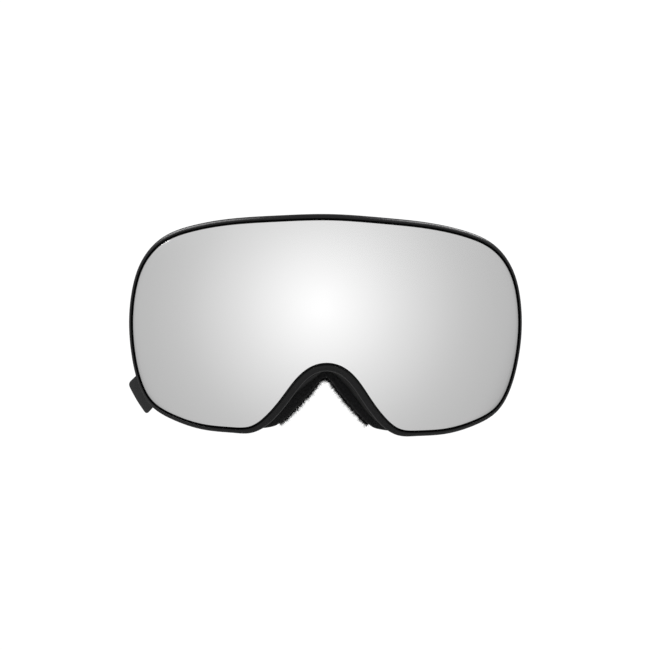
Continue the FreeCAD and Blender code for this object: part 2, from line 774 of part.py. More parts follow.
def strap_end(name, side):
    """The strap's end, folded round the slider's bar and sewn to itself."""
    start, along, run, outwards = strap_line(side)
    centre = start + along * size("slider_back") + outwards * (strap_side - bar_inside)
    hole = size("slider_bar_radius") + 0.1
    ring = hole + size("strap_end_thickness")

    def place(back, out):
        return centre + along * back + outwards * out

    length = size("strap_end_length")
    wire = Part.Wire([
        arc(place(0, -ring), place(ring, 0), place(0, ring)),
        arc(place(0, ring), place(-ring * 0.7071, ring * 0.7071), place(-ring, 0)),
        line(place(-ring, 0), place(-length, 0)), line(place(-length, 0), place(-length, -ring)),
        line(place(-length, -ring), place(0, -ring))])
    feature = band(name, wire)
    bore = doc.addObject("Part::Cylinder", name + "_bore")
    bore.Radius = hole
    bind(bore, Height="sizes.strap_width + 2")
    bore.Placement.Base = centre - Vector(0, 0, size("strap_width") / 2 + 1)
    return keep(name, cut(name, feature, bore))


for hand, side in (("left", 1), ("right", -1)):
    slider(f"slider_{hand}", side)
    strap_end(f"strap_end_{hand}", side)

# ---------------------------------------------------------------- checks and files

doc.recompute()
for item in doc.Objects:
    if "Invalid" in item.State or "Error" in item.State:
        raise RuntimeError(f"{item.Label} failed: {item.State}")
for name, feature in pieces.items():
    shape = feature.Shape
    if shape.isNull() or not shape.isValid() or not shape.Solids:
        raise RuntimeError(f"{name} has no valid solid")
    shape.exportStep(f"parts/{name}.step")
    box = shape.BoundBox
    print(f"{name:24s} solids {len(shape.Solids):2d}  volume {shape.Volume:9.1f}  "
          f"x {box.XMin:7.1f} {box.XMax:7.1f}  y {box.YMin:7.1f} {box.YMax:7.1f}  "
          f"z {box.ZMin:7.1f} {box.ZMax:7.1f}")
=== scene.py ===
import math

import bpy
import numpy as np
from mathutils import Matrix, Vector


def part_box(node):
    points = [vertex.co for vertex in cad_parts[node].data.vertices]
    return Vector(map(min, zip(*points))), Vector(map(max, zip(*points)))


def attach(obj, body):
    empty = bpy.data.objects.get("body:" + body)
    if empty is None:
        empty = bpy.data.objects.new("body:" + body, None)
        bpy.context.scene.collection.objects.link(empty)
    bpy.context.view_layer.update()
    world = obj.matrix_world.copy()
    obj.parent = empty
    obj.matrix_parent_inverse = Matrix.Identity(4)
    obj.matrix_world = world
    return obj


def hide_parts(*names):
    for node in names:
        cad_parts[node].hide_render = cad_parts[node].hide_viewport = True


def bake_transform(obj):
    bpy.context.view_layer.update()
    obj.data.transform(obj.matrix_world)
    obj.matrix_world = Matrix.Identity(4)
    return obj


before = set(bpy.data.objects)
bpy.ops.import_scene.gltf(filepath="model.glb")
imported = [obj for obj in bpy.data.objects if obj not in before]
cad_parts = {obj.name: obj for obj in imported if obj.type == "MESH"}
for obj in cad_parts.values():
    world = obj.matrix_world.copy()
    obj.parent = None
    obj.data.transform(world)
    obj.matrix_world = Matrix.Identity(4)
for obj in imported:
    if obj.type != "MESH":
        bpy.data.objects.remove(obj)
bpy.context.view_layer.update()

# ------------------------------------------------------------------ outer lens
# One polycarbonate lens, thermoformed to a ball of 112 mm radius and vacuum coated with a silver
# mirror.  It is bonded to a ledge of the carrier, with a narrow groove between its edge and the rim.

LENS_RADIUS = 0.112
LENS_HIGH = 0.0075
LENS_THICKNESS = 0.0012
lens_low, lens_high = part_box("outer_lens")
lens_back = lens_low.y + LENS_RADIUS

# Right half from the brow round to the lowest point, in shares of the half width and half height,
# and on to the middle of the nose, in shares of half the nose's span and of its rise.
LENS_HALF = [(0, 1), (.265, .978), (.497, .943), (.696, .874), (.851, .751), (.945, .541),
             (.988, .275), (1, -.01), (.986, -.323), (.954, -.578), (.894, -.780), (.779, -.905),
             (.622, -.984), (.475, -1)]
LENS_NOSE = [(.80, .025), (.628, .20), (.453, .505), (.291, .805), (.151, .953), (0, 1)]
LENS_HEIGHT, NOSE_SPAN, NOSE_RISE = 0.096, 0.086, 0.031
STEPS = 12                                     # samples between two outline points


def whole_outline(half, nose, width, height, drop, span, rise):
    """Closed outline in the XZ plane, clockwise: the half's points scaled, and their mirror image."""
    right = [(x * width / 2, z * height / 2 - drop) for x, z in half]
    right += [(x * span / 2, z * rise - height / 2 - drop) for x, z in nose]
    return np.array(right + [(-x, z) for x, z in reversed(right[1:-1])])


def smooth_curve(points, steps=STEPS):
    """Closed cubic through the points, with parameter by chord length.  The second derivatives M
    solve h0 M0 + 2 (h0 + h1) M1 + h1 M2 = 6 (slope1 - slope0).  Returns points and outward normals."""
    count = len(points)
    index = np.arange(count)
    ahead = np.roll(points, -1, 0)
    span = np.linalg.norm(ahead - points, axis=1)
    slope = (ahead - points) / span[:, None]
    matrix = np.zeros((count, count))
    matrix[index, index] = 2 * (np.roll(span, 1) + span)
    matrix[index, (index + 1) % count] = span
    matrix[index, index - 1] = np.roll(span, 1)
    bend = np.linalg.solve(matrix, 6 * (slope - np.roll(slope, 1, 0)))
    bend_ahead = np.roll(bend, -1, 0)
    u = (np.arange(steps) / steps)[None, :, None]
    v = 1 - u
    h = span[:, None, None]
    place = (v * points[:, None] + u * ahead[:, None]
             + h * h / 6 * ((v ** 3 - v) * bend[:, None] + (u ** 3 - u) * bend_ahead[:, None]))
    along = (slope[:, None]
             + h / 6 * ((1 - 3 * v * v) * bend[:, None] + (3 * u * u - 1) * bend_ahead[:, None]))
    along = along / np.linalg.norm(along, axis=2, keepdims=True)
    normal = np.stack([-along[..., 1], along[..., 0]], 2)
    return place.reshape(-1, 2), normal.reshape(-1, 2)


def grown(points, amount):
    """The outline's points moved outwards along the curve's normals."""
    normal = smooth_curve(points, 1)[1]
    return points + normal * np.reshape(amount, (-1, 1))


def ball_depth(xz, back=0.0, radius=LENS_RADIUS):
    """Depth of a lens ball's front: centre depth less sqrt(radius^2 - x^2 - z^2)."""
    aside = xz[..., 0] ** 2 + (xz[..., 1] - LENS_HIGH) ** 2
    return lens_back + back - np.sqrt(radius ** 2 - aside)


def at_depth(xz, depth):
    """Points (x, depth, z)."""
    return np.stack([xz[..., 0], np.broadcast_to(depth, xz.shape[:-1]), xz[..., 1]], -1)


def grid_faces(rows, columns, close_rows=False, close_columns=False):
    """Quads of a grid of rows by columns, whose ends may join up."""
    r = np.arange(rows if close_rows else rows - 1)[:, None]
    c = np.arange(columns if close_columns else columns - 1)[None, :]
    r2, c2 = (r + 1) % rows, (c + 1) % columns
    quads = np.stack([r * columns + c, r * columns + c2, r2 * columns + c2, r2 * columns + c], -1)
    return quads.reshape(-1, 4)


def mesh_piece(name, points, faces, smooth_angle=40.0):
    """Mesh object at the origin from points and faces, turned so that its faces point outwards."""
    points = np.asarray(points, float).reshape(-1, 3)
    faces = [list(map(int, face)) for face in faces]
    volume = 0.0
    for size in (3, 4):
        same = np.array([face for face in faces if len(face) == size])
        if len(same):
            a, b, c = points[same[:, 0]], points[same[:, 1]], points[same[:, 2]]
            volume += (a * np.cross(b, c)).sum()
            if size == 4:
                volume += (a * np.cross(c, points[same[:, 3]])).sum()
    if volume < 0:
        faces = [face[::-1] for face in faces]
    mesh = bpy.data.meshes.new(name)
    mesh.from_pydata(points.tolist(), [], faces)
    mesh.validate()
    mesh.polygons.foreach_set("use_smooth", np.ones(len(mesh.polygons), bool))
    mesh.set_sharp_from_angle(angle=math.radians(smooth_angle))
    piece = bpy.data.objects.new(name, mesh)
    bpy.context.scene.collection.objects.link(piece)
    return piece


EDGE_CHAMFER = 0.00042
CHAMFER_ANGLE = 20                             # a sharper turn than this stays sharp, in degrees
LENS_RINGS = 44                                # rings of points on each face of the outer lens
LENS_POLE = np.array([0.0, 0.015])             # where those rings shrink to a point


def lens_shell(name, outline, front_back, front_radius, rear_back, rear_radius, rings=LENS_RINGS):
    """Solid lens: rays from the middle to the chamfer's line carry its front ball, and rays to the
    outline its edge and its rear."""
    edge = smooth_curve(outline)[0]
    chamfer = smooth_curve(grown(outline, -EDGE_CHAMFER))[0]
    share = np.linspace(0, 1, rings + 1)[1:, None, None] ** 0.8
    spread = LENS_POLE + share * (chamfer - LENS_POLE)
    front = at_depth(spread, ball_depth(spread, front_back, front_radius))
    step = at_depth(edge, ball_depth(edge, front_back, front_radius) + 0.8 * EDGE_CHAMFER)[None]
    spread = LENS_POLE + share * (edge - LENS_POLE)
    rear = at_depth(spread, ball_depth(spread, rear_back, rear_radius))[::-1]
    rows = np.concatenate([front, step, rear])
    count = len(edge)
    poles = np.stack([at_depth(LENS_POLE, ball_depth(LENS_POLE, front_back, front_radius)),
                      at_depth(LENS_POLE, ball_depth(LENS_POLE, rear_back, rear_radius))])
    points = np.concatenate([rows.reshape(-1, 3), poles])
    faces = list(grid_faces(len(rows), count, close_columns=True))
    column = np.arange(count)
    ahead = (column + 1) % count
    start, end = len(rows) * count, (len(rows) - 1) * count
    faces += list(np.stack([np.full(count, start), ahead, column], 1))
    faces += list(np.stack([np.full(count, start + 1), end + column, end + ahead], 1))
    return mesh_piece(name, points, faces, CHAMFER_ANGLE)


def linear(code):
    """Linear RGBA of an sRGB hex colour."""
    channels = [int(code[i:i + 2], 16) / 255 for i in (1, 3, 5)]
    return [c / 12.92 if c <= 0.04045 else ((c + 0.055) / 1.055) ** 2.4 for c in channels] + [1.0]


def add_node(tree, kind, inputs=None, links=None, **settings):
    """Add a shader node, set its properties and sockets, and link sockets from other nodes."""
    node = tree.nodes.new(kind)
    for name, value in settings.items():
        setattr(node, name, value)
    for name, value in (inputs or {}).items():
        node.inputs[name].default_value = value
    for name, (source, socket) in (links or {}).items():
        tree.links.new(source.outputs[socket], node.inputs[name])
    return node


def new_material(name, **surface):
    """Material with one Principled shader, whose sockets are given by name."""
    material = bpy.data.materials.new(name)
    material.use_nodes = True
    shader = material.node_tree.nodes["Principled BSDF"]
    for key, value in surface.items():
        shader.inputs[key.replace("_", " ")].default_value = value
    return material, material.node_tree, shader


def finish_with(piece, material):
    """Give the piece this material alone."""
    piece.data.materials.clear()
    piece.data.materials.append(material)
    return piece


lens_edge = whole_outline(LENS_HALF, LENS_NOSE, 2 * lens_high.x, LENS_HEIGHT, 0, NOSE_SPAN, NOSE_RISE)

# Silver mirror on polycarbonate, vacuum coated: an almost even metal that blurs what it reflects
# a little, with faint waves 40 mm long where the sheet was formed.
mirror_coat, tree, shader = new_material("silver_mirror_coat", Metallic=1.0, Roughness=0.16,
                                         Base_Color=linear("#f7f7f7"))
place = add_node(tree, "ShaderNodeTexCoord")
haze = add_node(tree, "ShaderNodeTexNoise", {"Scale": 25.0, "Detail": 2.0}, {"Vector": (place, "Object")})
blur = add_node(tree, "ShaderNodeMapRange", {"To Min": 0.14, "To Max": 0.2}, {"Value": (haze, "Fac")})
tree.links.new(blur.outputs["Result"], shader.inputs["Roughness"])

# Its rear, which the wearer looks through, shows the smoke tint of the sheet under the coat.
smoke_tint, tree, shader = new_material("smoke_tinted_polycarbonate", Base_Color=linear("#17191b"),
                                        Roughness=0.08, IOR=1.58, Coat_Weight=0.4)
place = add_node(tree, "ShaderNodeTexCoord")
haze = add_node(tree, "ShaderNodeTexNoise", {"Scale": 30.0, "Detail": 2.0}, {"Vector": (place, "Object")})
tone = add_node(tree, "ShaderNodeMix", {"A": linear("#141618"), "B": linear("#1c1f22")},
                {"Factor": (haze, "Fac")}, data_type="RGBA")
tree.links.new(tone.outputs["Result"], shader.inputs["Base Color"])

# The edge is bevelled, and coloured near-black as painted shade of the groove between the lens and the rim.
groove_shade_edge, tree, shader = new_material("bevelled_edge_painted_groove_shade", Base_Color=linear("#060606"), Roughness=0.6,
                                        Specular_IOR_Level=0.2)
place = add_node(tree, "ShaderNodeTexCoord")
shade_mottle = add_node(tree, "ShaderNodeTexNoise", {"Scale": 400.0, "Detail": 2.0}, {"Vector": (place, "Object")})
tone = add_node(tree, "ShaderNodeMix", {"A": linear("#030303"), "B": linear("#0b0b0b")},
                {"Factor": (shade_mottle, "Fac")}, data_type="RGBA")
tree.links.new(tone.outputs["Result"], shader.inputs["Base Color"])

outer_lens = finish_with(lens_shell("outer_lens_mirror", lens_edge, 0, LENS_RADIUS,
                                    0, LENS_RADIUS - LENS_THICKNESS), mirror_coat)
outer_lens.data.materials.append(smoke_tint)
outer_lens.data.materials.append(groove_shade_edge)
facing = np.zeros(len(outer_lens.data.polygons) * 3)
outer_lens.data.polygons.foreach_get("normal", facing)
finish_index = (facing[1::3] > 0.2).astype(np.int32)
ring_faces = STEPS * len(lens_edge)
bevel_start = (LENS_RINGS - 1) * ring_faces              # the front ball's rings of quads come first
# The chamfer's rings of faces take the near-black painted groove shade.
finish_index[bevel_start:bevel_start + 2 * ring_faces] = 2
outer_lens.data.polygons.foreach_set("material_index", finish_index)
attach(outer_lens, "lens")
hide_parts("outer_lens")

# ------------------------------------------------------------------ lens carrier
# Moulded rim round the lens in satin black polyurethane.  Its front lip is rounded and stands a
# little proud of the lens; the groove beside the lens reads as a thin black line, made wider by
# painted shade on the lens's bevelled edge.

GROOVE = 0.00045
RIM_SIDE, RIM_TOP, RIM_BOTTOM, RIM_NOSE = 0.00175, 0.0026, 0.0024, 0.0035
CARRIER_DEPTH, CARRIER_LEDGE = 0.007, 0.004
SEAM = 0.0003                                  # depth of the parting groove round the rim's flank


def rim_width(points, normal):
    """Side width, changing with the square of the normal's height, and to the nose's below it."""
    width = (RIM_SIDE + (RIM_TOP - RIM_SIDE) * np.maximum(normal[:, 1], 0) ** 2
             + (RIM_BOTTOM - RIM_SIDE) * np.maximum(-normal[:, 1], 0) ** 2)
    share = np.clip((1 - np.abs(points[:, 0]) / (NOSE_SPAN / 2)) / 0.4, 0, 1) * (points[:, 1] < 0)
    share = share * share * (3 - 2 * share)
    return width + (RIM_NOSE - width) * share


def round_corners(corners, radii, steps=4):
    """Closed profiles (rings of corners) with each corner cut back by its radius and bridged by a
    quadratic curve (1-s)^2 A + 2 s (1-s) corner + s^2 B.  A radius of 0 keeps the corner."""
    corners = np.stack(corners, 1)
    before, after = np.roll(corners, 1, 1), np.roll(corners, -1, 1)
    result = []
    for number, radius in enumerate(radii):
        here = corners[:, number]
        if not radius:
            result.append(here)
            continue
        sides = []
        for other in (before[:, number], after[:, number]):
            gap = np.linalg.norm(other - here, axis=1, keepdims=True) + 1e-9
            sides.append(here + (other - here) * np.minimum(radius / gap, 0.48))
        for s in np.linspace(0, 1, steps):
            result.append((1 - s) ** 2 * sides[0] + 2 * s * (1 - s) * here + s * s * sides[1])
    return np.stack(result, 1)


def ring_piece(name, corners, radii, steps=4, smooth_angle=40.0):
    """Closed ring: the rounded profile at each place of the outline, joined to the next."""
    profile = round_corners(corners, radii, steps)
    rows, columns = profile.shape[:2]
    return mesh_piece(name, profile, grid_faces(rows, columns, True, True), smooth_angle)


edge_line, edge_normal = smooth_curve(lens_edge)
width = rim_width(edge_line, edge_normal)


def beside_lens(growth, depth):
    """Points at a growth outwards from the lens's edge, at a depth behind the lens's own ball."""
    xz = edge_line + edge_normal * np.reshape(growth, (-1, 1))
    return at_depth(xz, ball_depth(xz) + depth)


ledge_line = smooth_curve(grown(lens_edge, -CARRIER_LEDGE))[0]
carrier = ring_piece("lens_carrier_rim", [
    beside_lens(GROOVE * np.ones_like(width), LENS_THICKNESS),
    beside_lens(GROOVE + 0.06 * (width - GROOVE), -0.0005),
    beside_lens(GROOVE + 0.26 * (width - GROOVE), -0.00098),
    beside_lens(GROOVE + 0.60 * (width - GROOVE), -0.00086),
    beside_lens(GROOVE + 0.86 * (width - GROOVE), -0.00062),
    beside_lens(width, 0.0006),
    beside_lens(width, 0.0026),
    beside_lens(width - SEAM, 0.0029),
    beside_lens(width - SEAM, 0.0033),
    beside_lens(width, 0.0036),
    beside_lens(width, CARRIER_DEPTH),
    at_depth(ledge_line, ball_depth(ledge_line) + CARRIER_DEPTH),
    at_depth(ledge_line, ball_depth(ledge_line) + LENS_THICKNESS),
], [0, 0.0002, 0.0003, 0.0004, 0.0004, 0.0007, 0.0002, 0.0002, 0.0002, 0.0002, 0.0005, 0.0003, 0.0003])

# Satin black polyurethane, injection moulded against a fine spark-eroded tool: a soft highlight,
# broken up by a grain that is drawn about 0.4 mm across, slightly coarser than the real one.
satin_black, tree, shader = new_material("moulded_satin_polyurethane", Base_Color=linear("#121213"),
                                         Roughness=0.28, Specular_IOR_Level=0.2)
place = add_node(tree, "ShaderNodeTexCoord")
grain = add_node(tree, "ShaderNodeTexNoise", {"Scale": 2600.0, "Detail": 3.0}, {"Vector": (place, "Object")})
patch = add_node(tree, "ShaderNodeTexNoise", {"Scale": 60.0, "Detail": 2.0}, {"Vector": (place, "Object")})
rough = add_node(tree, "ShaderNodeMapRange", {"To Min": 0.24, "To Max": 0.32}, {"Value": (patch, "Fac")})
tree.links.new(rough.outputs["Result"], shader.inputs["Roughness"])
bump = add_node(tree, "ShaderNodeBump", {"Strength": 0.25, "Distance": 0.0001}, {"Height": (grain, "Fac")})
tree.links.new(bump.outputs["Normal"], shader.inputs["Normal"])
finish_with(carrier, satin_black)
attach(carrier, "lens")
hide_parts("lens_carrier")

# ------------------------------------------------------------------ pull tab
# Finger tab moulded in one with the carrier, low on the wearer's right, to peel the lens off its
# magnets.  Its slab follows the lens's ball and its edges are rounded over.

# Corners as shares of the lens's half width and half height, with the radius of each.
TAB_CORNERS = [((-.955, -.50), 0), ((-.985, -.548), .0008), ((-1.030, -.630), .0022),
               ((-.985, -.785), .012), ((-.928, -.931), .002), ((-.888, -.848), .0008),
               ((-.862, -.81), 0)]
HALF_WIDTH = 0.0905
TAB_BACK, TAB_THICKNESS, TAB_ROUND = 0.003, 0.003, 0.0006

tab_corners = [np.array([[x * HALF_WIDTH, z * LENS_HEIGHT / 2]]) for (x, z), _ in TAB_CORNERS]
tab_outline = round_corners(tab_corners, [radius for _, radius in TAB_CORNERS], 9)[0]
before, after = np.roll(tab_outline, 1, 0), np.roll(tab_outline, -1, 0)
tab_normal = np.stack([(before - after)[:, 1], (after - before)[:, 0]], 1)
tab_normal = tab_normal / np.linalg.norm(tab_normal, axis=1, keepdims=True)
if ((tab_outline - tab_outline.mean(0)) * tab_normal).sum() < 0:
    tab_normal = -tab_normal

# Quarter-round edge: inset r (1 - cos t), depth r (1 - sin t), and the same at the rear.
turn = np.linspace(0, math.pi / 2, 5)
inset = np.concatenate([(1 - np.sin(turn)), (1 - np.cos(turn))]) * TAB_ROUND
depth = np.concatenate([(1 - np.cos(turn)) * TAB_ROUND, TAB_THICKNESS - (1 - np.sin(turn)) * TAB_ROUND])
loops = tab_outline[None] - inset[:, None, None] * tab_normal[None]
loops = at_depth(loops, ball_depth(loops, TAB_BACK) + depth[:, None])
middle = tab_outline.mean(0)
caps = np.stack([at_depth(middle, ball_depth(middle, TAB_BACK)),
                 at_depth(middle, ball_depth(middle, TAB_BACK) + TAB_THICKNESS)])
count, column = len(tab_outline), np.arange(len(tab_outline))
faces = list(grid_faces(len(loops), count, close_columns=True))
faces += list(np.stack([np.full(count, len(loops) * count), (column + 1) % count, column], 1))
last = (len(loops) - 1) * count
faces += list(np.stack([np.full(count, len(loops) * count + 1), last + column,
                        last + (column + 1) % count], 1))
pull_tab = finish_with(mesh_piece("pull_tab_slab", np.concatenate([loops.reshape(-1, 3), caps]), faces, 60),
                       satin_black)
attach(pull_tab, "lens")
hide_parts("pull_tab")

# ------------------------------------------------------------------ inner lens and its gasket
# Clear acetate lens with an anti-fog face, held 3.6 mm behind the outer one by a ring of
# closed-cell foam that is glued to both and keeps the air between them dry.

STACK_INSET, GASKET_WIDTH, AIR_GAP, INNER_THICKNESS = 0.0042, 0.003, 0.0036, 0.0008

stack_edge = grown(lens_edge, -STACK_INSET)
clear_acetate, tree, shader = new_material("clear_anti_fog_acetate", Base_Color=linear("#eef1f1"),
                                           Roughness=0.0, IOR=1.49, Transmission_Weight=1.0)
place = add_node(tree, "ShaderNodeTexCoord")
film = add_node(tree, "ShaderNodeTexNoise", {"Scale": 40.0, "Detail": 2.0}, {"Vector": (place, "Object")})
tone = add_node(tree, "ShaderNodeMix", {"A": linear("#f3f6f6"), "B": linear("#e4eaea")},
                {"Factor": (film, "Fac")}, data_type="RGBA")
tree.links.new(tone.outputs["Result"], shader.inputs["Base Color"])
inner_lens = finish_with(lens_shell("inner_lens_clear", stack_edge, AIR_GAP, LENS_RADIUS - LENS_THICKNESS,
                                    AIR_GAP, LENS_RADIUS - LENS_THICKNESS - INNER_THICKNESS, 24),
                         clear_acetate)
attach(inner_lens, "lens")
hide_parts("inner_lens")

gasket_outer = smooth_curve(stack_edge)[0]
gasket_inner = smooth_curve(grown(stack_edge, -GASKET_WIDTH))[0]


def gasket_line(share, back):
    """Points between the gasket's outer and inner outlines, at a depth behind the lens's rear."""
    xz = gasket_outer + (gasket_inner - gasket_outer) * share
    return at_depth(xz, ball_depth(xz, 0, LENS_RADIUS - LENS_THICKNESS) + back)


gasket = ring_piece("lens_gasket_ring", [
    gasket_line(0, 0.0), gasket_line(0, AIR_GAP), gasket_line(1, AIR_GAP),
    gasket_line(1.06, AIR_GAP / 2), gasket_line(1, 0.0)], [0, 0, 0, 0.0009, 0])

# Closed-cell foam, split from a block: matte black with cut cells about 0.8 mm across, drawn
# a little larger than the real ones.
closed_foam, tree, shader = new_material("closed_cell_gasket_foam", Base_Color=linear("#161617"),
                                         Roughness=0.9)
place = add_node(tree, "ShaderNodeTexCoord")
cells = add_node(tree, "ShaderNodeTexVoronoi", {"Scale": 1100.0}, {"Vector": (place, "Object")})
bump = add_node(tree, "ShaderNodeBump", {"Strength": 0.5, "Distance": 0.0002},
                {"Height": (cells, "Distance")})
tree.links.new(bump.outputs["Normal"], shader.inputs["Normal"])
finish_with(gasket, closed_foam)
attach(gasket, "lens")
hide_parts("lens_gasket")

# ------------------------------------------------------------------ magnets and hinge pins
# Nickel-plated discs pressed into the carrier and the frame, and drawn steel pins pressed into
# the frame's ears.

# Nickel plate: bright warm-grey metal with faint clouding from the barrel it was plated in.
nickel, tree, shader = new_material("barrel_plated_nickel", Base_Color=linear("#c9c6c0"), Metallic=1.0,
                                    Roughness=0.25)
place = add_node(tree, "ShaderNodeTexCoord")
cloud = add_node(tree, "ShaderNodeTexNoise", {"Scale": 900.0, "Detail": 2.0}, {"Vector": (place, "Object")})
blur = add_node(tree, "ShaderNodeMapRange", {"To Min": 0.18, "To Max": 0.36}, {"Value": (cloud, "Fac")})
tree.links.new(blur.outputs["Result"], shader.inputs["Roughness"])

# Drawn stainless steel: fine lines along the pin, 0.3 mm apart.
drawn_steel, tree, shader = new_material("drawn_stainless_steel", Base_Color=linear("#b4b4b6"),
                                         Metallic=1.0, Roughness=0.3)
place = add_node(tree, "ShaderNodeTexCoord")
stretched = add_node(tree, "ShaderNodeMapping", {"Scale": (3300.0, 3300.0, 60.0)},
                     {"Vector": (place, "Object")})
lines = add_node(tree, "ShaderNodeTexNoise", {"Scale": 1.0, "Detail": 2.0}, {"Vector": (stretched, "Vector")})
blur = add_node(tree, "ShaderNodeMapRange", {"To Min": 0.2, "To Max": 0.45}, {"Value": (lines, "Fac")})
tree.links.new(blur.outputs["Result"], shader.inputs["Roughness"])

for node, metal in (("lens_magnets", nickel), ("frame_magnets", nickel),
                    ("hinge_pin_left", drawn_steel), ("hinge_pin_right", drawn_steel)):
    finish_with(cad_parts[node], metal)

# ------------------------------------------------------------------ face frame
# Injection-moulded soft polyurethane: seat for the carrier, a wall with vent slots that narrows
# towards the face, a flange for the foam and ears for the hinge pins.

# Matte black polyurethane: blasted tool, so a fine even grain and a broad dull highlight.
matte_black, tree, shader = new_material("moulded_matte_polyurethane", Base_Color=linear("#101011"),
                                         Roughness=0.55, Specular_IOR_Level=0.15)
place = add_node(tree, "ShaderNodeTexCoord")
grain = add_node(tree, "ShaderNodeTexNoise", {"Scale": 2200.0, "Detail": 3.0}, {"Vector": (place, "Object")})
patch = add_node(tree, "ShaderNodeTexNoise", {"Scale": 45.0, "Detail": 3.0}, {"Vector": (place, "Object")})
tone = add_node(tree, "ShaderNodeMix", {"A": linear("#0c0c0d"), "B": linear("#131314")},
                {"Factor": (patch, "Fac")}, data_type="RGBA")
rough = add_node(tree, "ShaderNodeMapRange", {"To Min": 0.46, "To Max": 0.64}, {"Value": (patch, "Fac")})
bump = add_node(tree, "ShaderNodeBump", {"Strength": 0.35, "Distance": 0.0001}, {"Height": (grain, "Fac")})
tree.links.new(tone.outputs["Result"], shader.inputs["Base Color"])
tree.links.new(rough.outputs["Result"], shader.inputs["Roughness"])
tree.links.new(bump.outputs["Normal"], shader.inputs["Normal"])


WELD_REACH, SHARP_ANGLE = 0.000005, 35.0


def soften_edges(piece, width):
    """Weld a node's triangles together and round its sharp edges, as a mould leaves them."""
    weld = piece.modifiers.new("weld", "WELD")
    weld.merge_threshold = WELD_REACH
    bevel = piece.modifiers.new("rounded_edges", "BEVEL")
    bevel.width, bevel.segments = width, 2
    bevel.limit_method, bevel.angle_limit = "ANGLE", math.radians(SHARP_ANGLE)
    bevel.use_clamp_overlap = True
    return piece


finish_with(soften_edges(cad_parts["face_frame"], 0.0003), matte_black)

# ------------------------------------------------------------------ vent foam
# Strips of reticulated foam stuck behind the vent slots, which let air through and keep snow out.

FACE_HALF = [(0, 1), (.267, .989), (.497, .957), (.691, .882), (.842, .742), (.939, .538), (.988, .290),
             (1, .032), (.985, -.226), (.945, -.484), (.873, -.699), (.764, -.849), (.630, -.942),
             (.497, -.989)]
FACE_NOSE = [(.74, .012), (.55, .08), (.405, .28), (.27, .52), (.132, .79), (0, 1)]
FACE_RADIUS = 0.105
FRAME_STEP, FRAME_WALL, TAPER_INSET = 0.0004, 0.0022, 0.00147
TAPER_FRONT, TAPER_BACK = -0.057, 0.020
SEAT_BACK, FLANGE_FRONT = 0.010, 0.1246
STRIP_THICKNESS, STRIP_GAP = 0.0016, 0.0004
FACE_WIDTH, FACE_HEIGHT, FACE_DROP = 0.165, 0.093, 0.0025
FACE_NOSE_SPAN, FACE_NOSE_RISE = 0.082, 0.0247

face_edge = whole_outline(FACE_HALF, FACE_NOSE, FACE_WIDTH, FACE_HEIGHT, FACE_DROP, FACE_NOSE_SPAN,
                          FACE_NOSE_RISE)
rim_edge = grown(lens_edge, rim_width(lens_edge, smooth_curve(lens_edge, 1)[1]))
wall_start = grown(rim_edge, -FRAME_STEP - TAPER_INSET - FRAME_WALL)
wall_end = grown(face_edge, -FRAME_WALL)


def drum_depth(xz, radius):
    """Depth of an upright drum's front round the wearer's face: 105 mm - sqrt(radius^2 - x^2)."""
    return FACE_RADIUS - np.sqrt(radius ** 2 - xz[..., 0] ** 2)


def strip_faces(rows, columns):
    """Tube of rows by columns with flat ends."""
    ends = [list(range(columns)), list(range((rows - 1) * columns, rows * columns))[::-1]]
    return list(grid_faces(rows, columns, close_columns=True)) + ends


def vent_strip(name, low, high, upper):
    """Slab against the wall's inside: the wall's line at a share of its depth, carried along it."""
    lines = [smooth_curve(grown(points, -inwards))[0]
             for inwards in (0.0001, STRIP_THICKNESS) for points in (wall_start, wall_end)]
    inside = (lines[0][:, 0] > low) & (lines[0][:, 0] < high) & ((lines[0][:, 1] > 0) == upper)
    inside &= np.abs(lines[0][:, 1]) > 0.025
    order = np.flatnonzero(inside)
    order = order[np.argsort(lines[0][order, 0])]
    near_start, near_end, far_start, far_end = [line[order] for line in lines]
    corners = []
    for start, end, shares in ((near_start, near_end, (0.0, 1.0)), (far_start, far_end, (1.0, 0.0))):
        for share in shares:
            xz = (start + end) / 2
            for _ in range(3):
                front = ball_depth(xz, SEAT_BACK) + STRIP_GAP
                back = drum_depth(xz, FLANGE_FRONT) - STRIP_GAP
                depth = front + (back - front) * share
                along = ((depth - TAPER_FRONT) / (TAPER_BACK - TAPER_FRONT))[:, None]
                xz = start + (end - start) * along
            corners.append(at_depth(xz, depth))
    profile = round_corners(corners, [0.0004] * 4, 3)
    return mesh_piece(name, profile, strip_faces(*profile.shape[:2]))


# Reticulated foam: an open web of struts with pores about 1 mm across; the pores' middles are coloured
# near-black as painted shade in their depth.
open_foam, tree, shader = new_material("reticulated_vent_foam", Base_Color=linear("#101011"), Roughness=0.95)
place = add_node(tree, "ShaderNodeTexCoord")
pores = add_node(tree, "ShaderNodeTexVoronoi", {"Scale": 950.0}, {"Vector": (place, "Object")})
# Painted shade: dark in the pores' hollow middles, lighter on the struts.
tone = add_node(tree, "ShaderNodeMix", {"A": linear("#060606"), "B": linear("#1f1f20")},
                {"Factor": (pores, "Distance")}, data_type="RGBA")
bump = add_node(tree, "ShaderNodeBump", {"Strength": 0.8, "Distance": 0.0004},
                {"Height": (pores, "Distance")})
tree.links.new(tone.outputs["Result"], shader.inputs["Base Color"])
tree.links.new(bump.outputs["Normal"], shader.inputs["Normal"])

for node, low, high, upper in (("top_vent_foam", -0.0525, 0.0525, True),
                               ("bottom_vent_foam_left", 0.0374, 0.0699, False),
                               ("bottom_vent_foam_right", -0.0699, -0.0374, False)):
    strip = finish_with(vent_strip(node + "_strip", low, high, upper), open_foam)
    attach(strip, "root")
    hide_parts(node)

# ------------------------------------------------------------------ face foam
# Three layers bonded together: a firm open-cell base glued to the flange, a soft comfort layer,
# and a brushed fleece lining that meets the skin.  Each is die cut, so its sides bulge a little.

